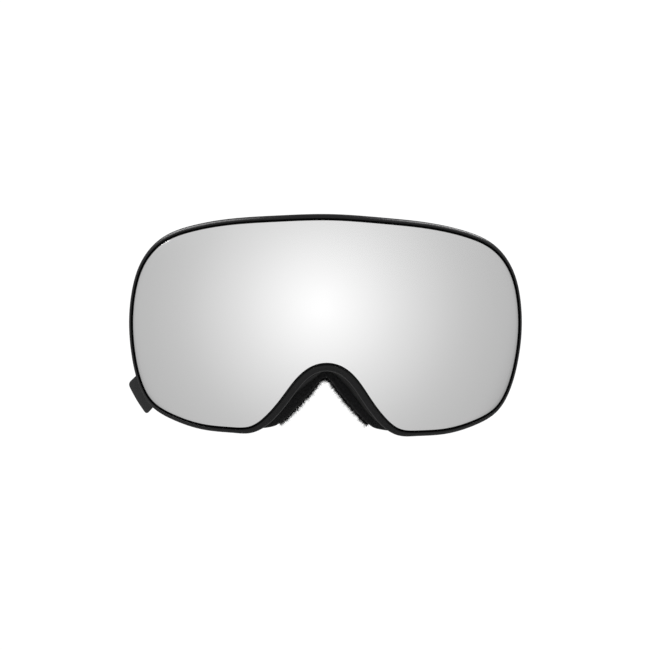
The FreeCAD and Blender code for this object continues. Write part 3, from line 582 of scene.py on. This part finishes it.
FOAM_WIDTH = 0.012
BASE_FRONT, COMFORT_FRONT, FLEECE_FRONT = 0.123, 0.112, 0.107      # drum radius where each starts
LAYER_GAP = 0.00005                            # drawn between two layers, so that none shows through


def foam_ring(name, growth, front, back, bulge, crown):
    """Ring between two drums: its sides bow out by bulge and its back rises by crown, as
    sin(pi share) across each side."""
    outer = smooth_curve(grown(face_edge, growth))[0]
    inner = smooth_curve(grown(face_edge, growth - FOAM_WIDTH))[0]
    share = np.linspace(0, 1, 6)
    bow = np.sin(math.pi * share)
    angle = np.linspace(0, 2 * math.pi, len(outer), endpoint=False)
    soft = 1 + 0.25 * np.sin(9 * angle) + 0.2 * np.sin(23 * angle + 1) + 0.15 * np.sin(51 * angle + 2)

    def at(aside, radius):
        xz = outer + (inner - outer) * np.reshape(aside, (-1, 1))
        return at_depth(xz, drum_depth(xz, radius))

    corners = [at(0 * soft - bulge * b * soft, front + (back - front) * s) for s, b in zip(share, bow)]
    corners += [at(s + 0 * soft, back - crown * b * soft) for s, b in zip(share[1:-1], bow[1:-1])]
    corners += [at(1 + bulge * b * soft, back + (front - back) * s) for s, b in zip(share, bow)]
    radii = [0.0008] + [0] * 4 + [0.0012] + [0] * 4 + [0.0012] + [0] * 4 + [0.0008]
    return ring_piece(name, corners, radii, 4, 60)


# Open-cell polyurethane foam: dull charcoal with cut cells of 0.5 mm, drawn about twice that size.
cut_foam, tree, shader = new_material("die_cut_open_cell_foam", Base_Color=linear("#111112"), Roughness=0.95,
                                      Specular_IOR_Level=0.2, Sheen_Weight=0.08, Sheen_Roughness=0.6)
place = add_node(tree, "ShaderNodeTexCoord")
cells = add_node(tree, "ShaderNodeTexVoronoi", {"Scale": 1000.0}, {"Vector": (place, "Object")})
patch = add_node(tree, "ShaderNodeTexNoise", {"Scale": 120.0, "Detail": 3.0}, {"Vector": (place, "Object")})
# Painted shade: each cut cell is coloured darker in its hollow middle than on its walls.
tone = add_node(tree, "ShaderNodeMix", {"A": linear("#080809"), "B": linear("#19191a")},
                {"Factor": (cells, "Distance")}, data_type="RGBA")
height = add_node(tree, "ShaderNodeMath", {}, {0: (cells, "Distance"), 1: (patch, "Fac")}, operation="ADD")
bump = add_node(tree, "ShaderNodeBump", {"Strength": 0.6, "Distance": 0.0003}, {"Height": (height, "Value")})
tree.links.new(tone.outputs["Result"], shader.inputs["Base Color"])
tree.links.new(bump.outputs["Normal"], shader.inputs["Normal"])

# The comfort layer's foam is softer and finer, and a shade lighter than the base.
soft_foam, tree, shader = new_material("die_cut_comfort_foam", Base_Color=linear("#2b2b2d"), Roughness=0.95,
                                       Sheen_Weight=0.3, Sheen_Roughness=0.5)
place = add_node(tree, "ShaderNodeTexCoord")
cells = add_node(tree, "ShaderNodeTexVoronoi", {"Scale": 1500.0}, {"Vector": (place, "Object")})
# Painted shade: each cell is coloured darker in its hollow middle than on its walls.
tone = add_node(tree, "ShaderNodeMix", {"A": linear("#1d1d1f"), "B": linear("#363638")},
                {"Factor": (cells, "Distance")}, data_type="RGBA")
bump = add_node(tree, "ShaderNodeBump", {"Strength": 0.5, "Distance": 0.0002},
                {"Height": (cells, "Distance")})
tree.links.new(tone.outputs["Result"], shader.inputs["Base Color"])
tree.links.new(bump.outputs["Normal"], shader.inputs["Normal"])

base = finish_with(foam_ring("foam_base_ring", 0.0, BASE_FRONT - LAYER_GAP, COMFORT_FRONT + LAYER_GAP,
                             0.025, 0.0), cut_foam)
comfort = finish_with(foam_ring("foam_comfort_ring", -0.0006, COMFORT_FRONT - LAYER_GAP,
                                FLEECE_FRONT + LAYER_GAP, 0.05, 0.0), soft_foam)
for ring, node, slot in ((base, "foam_base", "face_foam"), (comfort, "foam_comfort", "comfort_foam")):
    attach(ring, "root")
    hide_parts(node)

# ------------------------------------------------------------------ fleece lining
# Brushed polyester fleece, laminated to the comfort foam.  Its pile is short on the skin side and
# stands out as a fringe of loose fibres round the notch for the nose.

lining = foam_ring("fleece_lining_ring", -0.0003, FLEECE_FRONT - LAYER_GAP, FACE_RADIUS + 0.0001, 0.03,
                   0.0003)

# Brushed fleece: matte, nearly black, with soft tufts about 1.5 mm across and a velvety rim.
fleece, tree, shader = new_material("brushed_fleece", Base_Color=linear("#070708"), Roughness=1.0,
                                    Specular_IOR_Level=0.15, Sheen_Weight=0.12, Sheen_Roughness=0.45)
place = add_node(tree, "ShaderNodeTexCoord")
tufts = add_node(tree, "ShaderNodeTexNoise", {"Scale": 700.0, "Detail": 4.0, "Roughness": 0.7},
                 {"Vector": (place, "Object")})
tone = add_node(tree, "ShaderNodeMix", {"A": linear("#040405"), "B": linear("#0f0f10")},
                {"Factor": (tufts, "Fac")}, data_type="RGBA")
bump = add_node(tree, "ShaderNodeBump", {"Strength": 0.9, "Distance": 0.0005}, {"Height": (tufts, "Fac")})
tree.links.new(tone.outputs["Result"], shader.inputs["Base Color"])
tree.links.new(bump.outputs["Normal"], shader.inputs["Normal"])
finish_with(lining, fleece)


def fibres(name, roots, directions, lengths, thickness, seed):
    """Three-sided spikes: a triangle of the given thickness at the root, a bent middle and a tip."""
    random = np.random.default_rng(seed)
    count = len(roots)
    aside = np.cross(directions, random.normal(size=(count, 3)))
    aside /= np.linalg.norm(aside, axis=1, keepdims=True)
    across = np.cross(directions, aside)
    bend = random.normal(size=(count, 3)) * lengths[:, None] * 0.22
    rings = []
    for share, width in ((0.0, 1.0), (0.55, 0.7)):
        centre = roots + directions * (lengths * share)[:, None] + bend * share * share
        for turn in (0, 2 * math.pi / 3, 4 * math.pi / 3):
            rings.append(centre + (aside * math.cos(turn) + across * math.sin(turn)) * thickness * width)
    tips = roots + directions * lengths[:, None] + bend
    points = np.stack(rings + [tips], 1)
    first = (np.arange(count) * 7)[:, None]
    faces = []
    for a, b in ((0, 1), (1, 2), (2, 0)):
        faces += (first + [a, b, b + 3, a + 3]).tolist()
        faces += (first + [a + 3, b + 3, 6]).tolist()
    faces += (first + [0, 2, 1]).tolist()
    return mesh_piece(name, points, faces, 80)


def ring_places(line, normal, random, count, keep_where):
    """Random places on an outline, where keep_where(point) holds: their points and normals."""
    index = random.integers(0, len(line), count * 6)
    index = index[keep_where(line[index])][:count]
    slide = random.random((len(index), 1))
    after = (index + 1) % len(line)
    return line[index] * (1 - slide) + line[after] * slide, normal[index]


FRINGE_REACH, FRINGE_TOP = 0.0205, -0.02       # the fringe's half width, and the height it stays below
FIBRE_THICKNESS = 0.00009
random = np.random.default_rng(7)
foam_line, foam_normal = smooth_curve(face_edge)


def near_nose(xz):
    """Which points lie on the notch for the nose."""
    return (np.abs(xz[:, 0]) < FRINGE_REACH) & (xz[:, 1] < FRINGE_TOP)


# Fringe round the notch: outwards from the foam's side, over its whole depth.
xz, outwards = ring_places(foam_line, foam_normal, random, 9000, near_nose)
radius = FACE_RADIUS + 0.0175 * random.random(len(xz))
roots = at_depth(xz - outwards * 0.0004, drum_depth(xz, radius))
wander = random.normal(size=(len(xz), 3)) * 0.4
directions = at_depth(outwards, 0.0) + wander
directions /= np.linalg.norm(directions, axis=1, keepdims=True)
lengths = 0.0009 + 0.0021 * random.random(len(xz)) ** 2
fringe = finish_with(fibres("fleece_fringe", roots, directions, lengths, FIBRE_THICKNESS, 11), fleece)

# One fibre in eight is drawn in a lighter colour, as painted highlight where a fibre catches the light.
highlight_fibre_paint, tree, shader = new_material("polyester_fibre_painted_highlight", Base_Color=linear("#2e2e30"),
                                         Roughness=0.7, Specular_IOR_Level=0.3, Sheen_Weight=0.3)
place = add_node(tree, "ShaderNodeTexCoord")
tint = add_node(tree, "ShaderNodeTexNoise", {"Scale": 500.0, "Detail": 1.0}, {"Vector": (place, "Object")})
# Painted highlight: these lighter tones stand in for light caught on the fleece's dark fibres.
tone = add_node(tree, "ShaderNodeMix", {"A": linear("#141415"), "B": linear("#4a4a4c")},
                {"Factor": (tint, "Fac")}, data_type="RGBA")
tree.links.new(tone.outputs["Result"], shader.inputs["Base Color"])
light = slice(None, None, 8)
highlit_fibres = finish_with(fibres("fleece_fibres_painted_highlight", roots[light], directions[light], lengths[light] * 1.15,
                            0.00008, 13), highlight_fibre_paint)

# Pile on the skin side: towards the face, over the whole ring.
pick = random.integers(0, len(foam_line), 15000)
share = random.random(len(pick))[:, None]
inner_line = smooth_curve(grown(face_edge, -FOAM_WIDTH))[0]
xz = foam_line[pick] + (inner_line - foam_line)[pick] * (0.03 + 0.94 * share)
xz = xz + random.normal(size=xz.shape) * 0.0003
roots = at_depth(xz, drum_depth(xz, FACE_RADIUS + 0.0004))
lean = random.normal(size=(len(xz), 3)) * 0.45
directions = np.stack([-xz[:, 0] / FACE_RADIUS, np.ones(len(xz)), np.zeros(len(xz))], 1) + lean
directions /= np.linalg.norm(directions, axis=1, keepdims=True)
lengths = 0.0005 + 0.0006 * random.random(len(xz))
pile = finish_with(fibres("fleece_pile", roots, directions, lengths, FIBRE_THICKNESS, 12), fleece)

for piece in (lining, fringe, highlit_fibres, pile):
    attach(piece, "root")
    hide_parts("fleece_lining")

# ------------------------------------------------------------------ outriggers
# Moulded nylon arms that swing on the hinge pins and hold the strap off a helmet.  The strap turns
# round the bar at the rear.

# Glass-filled nylon: satin charcoal with a faint flow pattern and a fine grain.
nylon, tree, shader = new_material("moulded_glass_filled_nylon", Base_Color=linear("#202022"),
                                   Roughness=0.45)
place = add_node(tree, "ShaderNodeTexCoord")
flow = add_node(tree, "ShaderNodeTexNoise", {"Scale": 150.0, "Detail": 4.0, "Distortion": 1.5},
                {"Vector": (place, "Object")})
tone = add_node(tree, "ShaderNodeMix", {"A": linear("#1b1b1c"), "B": linear("#282829")},
                {"Factor": (flow, "Fac")}, data_type="RGBA")
rough = add_node(tree, "ShaderNodeMapRange", {"To Min": 0.36, "To Max": 0.55}, {"Value": (flow, "Fac")})
grain = add_node(tree, "ShaderNodeTexNoise", {"Scale": 2500.0, "Detail": 2.0}, {"Vector": (place, "Object")})
bump = add_node(tree, "ShaderNodeBump", {"Strength": 0.3, "Distance": 0.0001}, {"Height": (grain, "Fac")})
tree.links.new(tone.outputs["Result"], shader.inputs["Base Color"])
tree.links.new(rough.outputs["Result"], shader.inputs["Roughness"])
tree.links.new(bump.outputs["Normal"], shader.inputs["Normal"])

for hand in ("left", "right"):
    finish_with(soften_edges(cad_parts["outrigger_" + hand], 0.0007), nylon)

# ------------------------------------------------------------------ strap
# Elastic webbing, 42 mm wide and 1.8 mm thick, knitted with ribs along its length.  It runs round
# the head, turns round each arm's bar and comes back inside itself to the slider.

STRAP_HALF, STRAP_WIDTH = 0.0009, 0.042
BAR = np.array([0.0872356, 0.0419990])
ALONG = np.array([-0.0938431, 0.9955870])
OUT = np.array([ALONG[1], -ALONG[0]])
STRAP_SIDE, TURN, REAR_START, RUN = 0.00295, -0.0014, 0.026, 0.0808653
HEAD_CENTRE, HEAD_RADIUS = np.array([0.0, 0.115]), 0.080


def strap_place(back, out):
    """Plan places on the left side: along the straight run behind the bar, and outwards from it."""
    return BAR + np.multiply.outer(back, ALONG) + np.multiply.outer(out, OUT)


def ribbon(name, path, half, width, start=0.0, rounding=0.0006, mirrored=False):
    """Webbing: a rounded oblong carried along a plan path.  The attribute cloth holds the distance
    along it and the height, both in metres."""
    forward = np.gradient(path, axis=0)
    forward /= np.linalg.norm(forward, axis=1, keepdims=True)
    aside = np.stack([forward[:, 1], -forward[:, 0]], 1)
    distance = start + np.concatenate([[0], np.cumsum(np.linalg.norm(np.diff(path, axis=0), axis=1))])
    heights = np.linspace(-width / 2, width / 2, 13)
    oblong = np.array([(half, z) for z in heights] + [(-half, z) for z in heights[::-1]])
    radii = [rounding if abs(z) > width / 2 - 1e-6 else 0 for _, z in oblong]
    section = round_corners([point[None] for point in oblong], radii, 4)[0]
    plan = path[:, None] + aside[:, None] * section[None, :, :1]
    points = np.concatenate([plan, np.broadcast_to(section[None, :, 1:], plan.shape[:2] + (1,))], 2)
    if mirrored:
        points[..., 0] = -points[..., 0]
    rows, columns = points.shape[:2]
    piece = mesh_piece(name, points, strip_faces(rows, columns), 50)
    cloth = np.zeros((rows, columns, 3))
    cloth[..., 0], cloth[..., 1] = distance[:, None], section[None, :, 1]
    attribute = piece.data.attributes.new("cloth", "FLOAT_VECTOR", "POINT")
    attribute.data.foreach_set("vector", cloth.ravel())
    return piece


# Knitted elastic webbing: ribs 1.5 mm apart along the strap, crossed by picks every 1.3 mm that
# step from rib to rib.  Both are drawn a little coarser than the real 1 mm.
webbing, tree, shader = new_material("knitted_elastic_webbing", Base_Color=linear("#161617"), Roughness=0.85,
                                     Sheen_Weight=0.25, Sheen_Roughness=0.5)
cloth = add_node(tree, "ShaderNodeAttribute", attribute_name="cloth")
parts = add_node(tree, "ShaderNodeSeparateXYZ", {}, {"Vector": (cloth, "Vector")})
rib = add_node(tree, "ShaderNodeMath", {1: 1 / 0.0015}, {0: (parts, "Y")}, operation="MULTIPLY")
step = add_node(tree, "ShaderNodeMath", {}, {0: (rib, "Value")}, operation="FLOOR")
shift = add_node(tree, "ShaderNodeMath", {1: 0.5}, {0: (step, "Value")}, operation="MULTIPLY")
pick = add_node(tree, "ShaderNodeMath", {1: 1 / 0.0013}, {0: (parts, "X")}, operation="MULTIPLY")
pick = add_node(tree, "ShaderNodeMath", {}, {0: (pick, "Value"), 1: (shift, "Value")}, operation="ADD")
across = add_node(tree, "ShaderNodeMath", {1: 1.0}, {0: (rib, "Value")}, operation="FRACT")
ahead = add_node(tree, "ShaderNodeMath", {1: 1.0}, {0: (pick, "Value")}, operation="FRACT")
hill = []
for source in (across, ahead):
    off = add_node(tree, "ShaderNodeMath", {1: 0.5}, {0: (source, "Value")}, operation="SUBTRACT")
    square = add_node(tree, "ShaderNodeMath", {1: 2.0}, {0: (off, "Value")}, operation="POWER")
    hill.append(add_node(tree, "ShaderNodeMath", {1: -3.6, 2: 1.0}, {0: (square, "Value")},
                         operation="MULTIPLY_ADD"))
knit = add_node(tree, "ShaderNodeMath", {}, {0: (hill[0], "Value"), 1: (hill[1], "Value")},
                operation="MULTIPLY")
fuzz = add_node(tree, "ShaderNodeTexNoise", {"Scale": 900.0, "Detail": 3.0}, {"Vector": (cloth, "Vector")})
height = add_node(tree, "ShaderNodeMath", {1: 0.3}, {0: (fuzz, "Fac"), 2: (knit, "Value")},
                  operation="MULTIPLY_ADD")
# Painted shade: darker in the grooves between ribs and picks, lighter on their crowns.
tone = add_node(tree, "ShaderNodeMix", {"A": linear("#0b0b0c"), "B": linear("#242426")},
                {"Factor": (knit, "Value")}, data_type="RGBA")
bump = add_node(tree, "ShaderNodeBump", {"Strength": 0.8, "Distance": 0.0003}, {"Height": (height, "Value")})
tree.links.new(tone.outputs["Result"], shader.inputs["Base Color"])
tree.links.new(bump.outputs["Normal"], shader.inputs["Normal"])

# The rear strap: straight runs, tangent to an arc round the head.
reach = HEAD_RADIUS + STRAP_SIDE
end_angle = math.atan2(OUT[1], OUT[0])
sweep = np.linspace(end_angle, math.pi - end_angle, 150)
round_head = HEAD_CENTRE + reach * np.stack([np.cos(sweep), np.sin(sweep)], 1)
run_out = strap_place(np.linspace(REAR_START, RUN, 30)[:-1], np.full(29, STRAP_SIDE))
path = np.concatenate([run_out, round_head, (run_out * [-1, 1])[::-1]])
rear = finish_with(ribbon("strap_rear_webbing", path, STRAP_HALF, STRAP_WIDTH, REAR_START), webbing)
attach(rear, "root")
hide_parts("strap_rear")

# Each end: the outer ply goes forward to the bar, turns round it and comes back inside.
RETURN_START, RETURN_END = 0.016, 0.0337


def inner_side(back):
    """Inner ply's place outwards: it closes in on the strap's sewn end as it nears the slider."""
    share = np.clip((back - 0.020) / 0.012, 0, 1)
    return -STRAP_SIDE + 0.0006 * share * share * (3 - 2 * share)


half_turn = np.linspace(0, math.pi, 22)[1:-1]
ply = np.linspace(REAR_START - 0.00005, TURN, 22)
back_ply = np.linspace(TURN, RETURN_START, 16)
front_path = np.concatenate([
    strap_place(ply, np.full(len(ply), STRAP_SIDE)),
    strap_place(TURN - STRAP_SIDE * np.sin(half_turn), STRAP_SIDE * np.cos(half_turn)),
    strap_place(back_ply, inner_side(back_ply))])
return_ply = np.linspace(RETURN_START, RETURN_END, 20)
return_path = strap_place(return_ply, inner_side(return_ply))

for hand, side in (("left", 1), ("right", -1)):
    front = finish_with(ribbon(f"strap_front_{hand}_webbing", front_path, STRAP_HALF, STRAP_WIDTH,
                               0, mirrored=side < 0), webbing)
    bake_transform(front)
    back = finish_with(ribbon(f"strap_return_{hand}_webbing", return_path, STRAP_HALF, STRAP_WIDTH,
                              0.045, mirrored=side < 0), webbing)
    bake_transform(back)
    for piece in (front, back):
        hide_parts("strap_front_" + hand)

# ------------------------------------------------------------------ strap ends and their stitches
# The strap's end is folded round the slider's bar and sewn down with two rows of black thread.

SLIDER_BACK, END_LENGTH, END_HALF = 0.046, 0.012, 0.0005
FOLD = 0.00165
bar_out = STRAP_SIDE - 0.00355
fold = np.linspace(-math.pi / 2, math.pi / 2, 17)
fold_back, fold_out = SLIDER_BACK + FOLD * np.cos(fold), bar_out + FOLD * np.sin(fold)
under = np.linspace(SLIDER_BACK - END_LENGTH, SLIDER_BACK, 9)[:-1]
over = np.linspace(SLIDER_BACK, SLIDER_BACK - END_LENGTH + 0.001, 9)[1:]
settle = np.clip((SLIDER_BACK - over) / 0.006, 0, 1)
settle = settle * settle * (3 - 2 * settle)
upper_out = bar_out + FOLD + (-2 * FOLD + 2 * END_HALF + 0.0001) * settle
end_path = np.concatenate([
    strap_place(under, np.full(len(under), bar_out - FOLD)), strap_place(fold_back, fold_out),
    strap_place(over, upper_out)])

# Bonded polyester thread: round, with a soft gloss, a shade lighter than the webbing.
thread, tree, shader = new_material("bonded_polyester_thread", Base_Color=linear("#2a2a2c"), Roughness=0.5,
                                    Sheen_Weight=0.2)
place = add_node(tree, "ShaderNodeTexCoord")
twist = add_node(tree, "ShaderNodeTexNoise", {"Scale": 3000.0, "Detail": 2.0}, {"Vector": (place, "Object")})
bump = add_node(tree, "ShaderNodeBump", {"Strength": 0.6, "Distance": 0.0001}, {"Height": (twist, "Fac")})
tree.links.new(bump.outputs["Normal"], shader.inputs["Normal"])


def stitch_row(name, places, heights, out_at, mirrored):
    """Rows of small upright stitches: each an arched tube of a few rings, thinner at its ends."""
    rings, sides = 5, 6
    share = np.linspace(-1, 1, rings)
    around = np.linspace(0, 2 * math.pi, sides, endpoint=False)
    half_length, thick = 0.0009, 0.00022
    all_points, all_faces = [], []
    for back in places:
        for height in heights:
            rise = 0.0002 * (1 - share ** 2)
            width = thick * np.sqrt(1.05 - share ** 2)
            out = out_at - rise[:, None] + width[:, None] * np.cos(around)
            along = back + width[:, None] * np.sin(around)
            plan = BAR + along[..., None] * ALONG + out[..., None] * OUT
            z = np.broadcast_to((height + half_length * share)[:, None, None], plan.shape[:2] + (1,))
            points = np.concatenate([plan, z], 2).reshape(-1, 3)
            all_faces += [[vertex + rings * sides * len(all_points) for vertex in face]
                          for face in strip_faces(rings, sides)]
            all_points.append(points)
    points = np.concatenate(all_points)
    if mirrored:
        points[:, 0] = -points[:, 0]
    return mesh_piece(name, points, all_faces, 80)


for hand, side in (("left", 1), ("right", -1)):
    end = finish_with(ribbon(f"strap_end_{hand}_webbing", end_path, END_HALF, STRAP_WIDTH, 0.06, 0.0003,
                             side < 0), webbing)
    rows = stitch_row(f"strap_end_{hand}_stitches", [SLIDER_BACK - 0.0105, SLIDER_BACK - 0.0082],
                      np.arange(-7, 8) * 0.0026, bar_out - FOLD - END_HALF - 0.0001, side < 0)
    finish_with(rows, thread)
    for piece in (end, rows):
        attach(piece, "buckle_" + hand)
        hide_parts("strap_end_" + hand)

# ------------------------------------------------------------------ sliders
# Moulded acetal buckles that set the strap's length: a frame over the strap, two side rails and
# a bar inside it.

# Acetal: dense, slightly waxy black with an even half gloss and hairline scuffs from the strap.
acetal, tree, shader = new_material("moulded_acetal", Base_Color=linear("#1a1a1b"), Roughness=0.32)
place = add_node(tree, "ShaderNodeTexCoord")
scuffed = add_node(tree, "ShaderNodeMapping", {"Scale": (900.0, 90.0, 900.0)}, {"Vector": (place, "Object")})
scuffs = add_node(tree, "ShaderNodeTexNoise", {"Scale": 1.0, "Detail": 4.0}, {"Vector": (scuffed, "Vector")})
rough = add_node(tree, "ShaderNodeMapRange", {"To Min": 0.24, "To Max": 0.46}, {"Value": (scuffs, "Fac")})
bump = add_node(tree, "ShaderNodeBump", {"Strength": 0.15, "Distance": 0.0001}, {"Height": (scuffs, "Fac")})
tree.links.new(rough.outputs["Result"], shader.inputs["Roughness"])
tree.links.new(bump.outputs["Normal"], shader.inputs["Normal"])

for hand in ("left", "right"):
    finish_with(soften_edges(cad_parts["slider_" + hand], 0.0005), acetal)

# ------------------------------------------------------------------ silicone grip
# Three lines of silicone printed on the inside of the strap, so that it holds on a helmet.

GRIP_PITCH, GRIP_WIDTH, GRIP_HALF, GRIP_REACH = 0.010, 0.0024, 0.0003, 58.0

# Printed silicone: dark grey, rubbery half gloss, with a faint grain from the cloth beneath.
silicone, tree, shader = new_material("printed_silicone", Base_Color=linear("#3a3a3d"), Roughness=0.4)
place = add_node(tree, "ShaderNodeTexCoord")
ripple = add_node(tree, "ShaderNodeTexNoise", {"Scale": 800.0, "Detail": 2.0}, {"Vector": (place, "Object")})
rough = add_node(tree, "ShaderNodeMapRange", {"To Min": 0.3, "To Max": 0.5}, {"Value": (ripple, "Fac")})
bump = add_node(tree, "ShaderNodeBump", {"Strength": 0.4, "Distance": 0.0001}, {"Height": (ripple, "Fac")})
tree.links.new(rough.outputs["Result"], shader.inputs["Roughness"])
tree.links.new(bump.outputs["Normal"], shader.inputs["Normal"])

sweep = np.radians(np.linspace(90 - GRIP_REACH, 90 + GRIP_REACH, 110))
inside = reach - STRAP_HALF - GRIP_HALF
grip_path = HEAD_CENTRE + inside * np.stack([np.cos(sweep), np.sin(sweep)], 1)
for number, place_name in ((-1, "lower"), (0, "middle"), (1, "upper")):
    bead = ribbon(f"strap_grip_{place_name}", grip_path, GRIP_HALF, GRIP_WIDTH, 0, 0.00028)
    heights = np.zeros(len(bead.data.vertices) * 3)
    bead.data.vertices.foreach_get("co", heights)
    heights[2::3] += number * GRIP_PITCH
    bead.data.vertices.foreach_set("co", heights)
    finish_with(bead, silicone)
    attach(bead, "root")
    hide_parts("strap_grip")

# ------------------------------------------------------------------ camera, light and floor
# A long lens, 1.15 m in front of the goggles, 1.3 degrees to the wearer's right of their axis and
# 0.9 degrees above it, and turned by 1.1 degrees about its own axis.

camera_data = bpy.data.cameras.new("camera")
camera_data.sensor_width = 36.0
camera_data.lens = 135.1
camera_data.clip_start, camera_data.clip_end = 0.05, 50.0
camera = bpy.data.objects.new("camera", camera_data)
camera.location = (-0.0260, -1.1470, 0.0185)
aim = Vector((-0.0003, 0.0, -0.0004))
camera.rotation_euler = (aim - camera.location).to_track_quat("-Z", "Y").to_euler()
camera.rotation_euler.rotate_axis("Z", math.radians(1.1))
bpy.context.scene.collection.objects.link(camera)
bpy.context.scene.camera = camera

world = bpy.data.worlds.new("studio")
bpy.context.scene.world = world
world.use_nodes = True
tree = world.node_tree
tree.nodes.clear()
# The studio is brightest behind the camera, fades to half of that at its sides, and is darker still
# behind the goggles.
place = add_node(tree, "ShaderNodeTexCoord")
facing = add_node(tree, "ShaderNodeVectorMath", {1: (-0.037, -0.999, 0.010)}, {0: (place, "Generated")},
                  operation="DOT_PRODUCT")
angle = add_node(tree, "ShaderNodeMath", {}, {0: (facing, "Value")}, operation="ARCCOSINE")
share = add_node(tree, "ShaderNodeMath", {1: math.pi}, {0: (angle, "Value")}, operation="DIVIDE")
FADE = [(0.0, 1.12), (25, 0.93), (40, 0.81), (56, 0.705), (73, 0.61), (93, 0.55), (110, 0.51),
        (135, 0.3), (180, 0.2)]
ramp = add_node(tree, "ShaderNodeFloatCurve", {}, {"Value": (share, "Value")})
curve = ramp.mapping.curves[0]
curve.points[0].location = (0, FADE[0][1] / 2)
curve.points[1].location = (1, FADE[-1][1] / 2)
for degrees, level in FADE[1:-1]:
    curve.points.new(degrees / 180, level / 2)
ramp.mapping.update()
studio = add_node(tree, "ShaderNodeBackground", {"Strength": 2.0}, {"Color": (ramp, "Value")})
white = add_node(tree, "ShaderNodeBackground", {"Color": (1, 1, 1, 1), "Strength": 1.05})
ray = add_node(tree, "ShaderNodeLightPath")
mixed = add_node(tree, "ShaderNodeMixShader", {}, {0: (ray, "Is Camera Ray"), 1: (studio, "Background"),
                                                    2: (white, "Background")})
add_node(tree, "ShaderNodeOutputWorld", {}, {"Surface": (mixed, "Shader")})

# Two strip lights hang over the goggles' shoulders and draw a soft streak on the rim's top.
for name, place, run, power in (("left", (-0.68, 0.12, 0.75), (-0.44, 0.8, -0.42), 9.0),
                                ("right", (0.56, 0.16, 0.78), (0.44, 0.8, -0.42), 12.0)):
    strip = bpy.data.lights.new("strip_light_" + name, "AREA")
    strip.shape = "RECTANGLE"
    strip.size, strip.size_y = 0.22, 0.8
    strip.energy = power
    lamp = bpy.data.objects.new("strip_light_" + name, strip)
    lamp.location = place
    back = Vector(place).normalized()
    side = Vector(run).cross(back).normalized()
    lamp.rotation_euler = Matrix((side, back.cross(side), back)).transposed().to_euler()
    bpy.context.scene.collection.objects.link(lamp)

bpy.ops.mesh.primitive_circle_add(vertices=96, radius=0.85, fill_type="NGON", location=(0, 0.07, -0.3))
floor = bpy.context.object
floor.name = "floor"
pale, tree, shader = new_material("pale_floor_paint", Base_Color=linear("#ebebeb"), Roughness=0.7)
floor.data.materials.append(pale)
floor.visible_glossy = False

bpy.context.scene.view_settings.view_transform = "Standard"
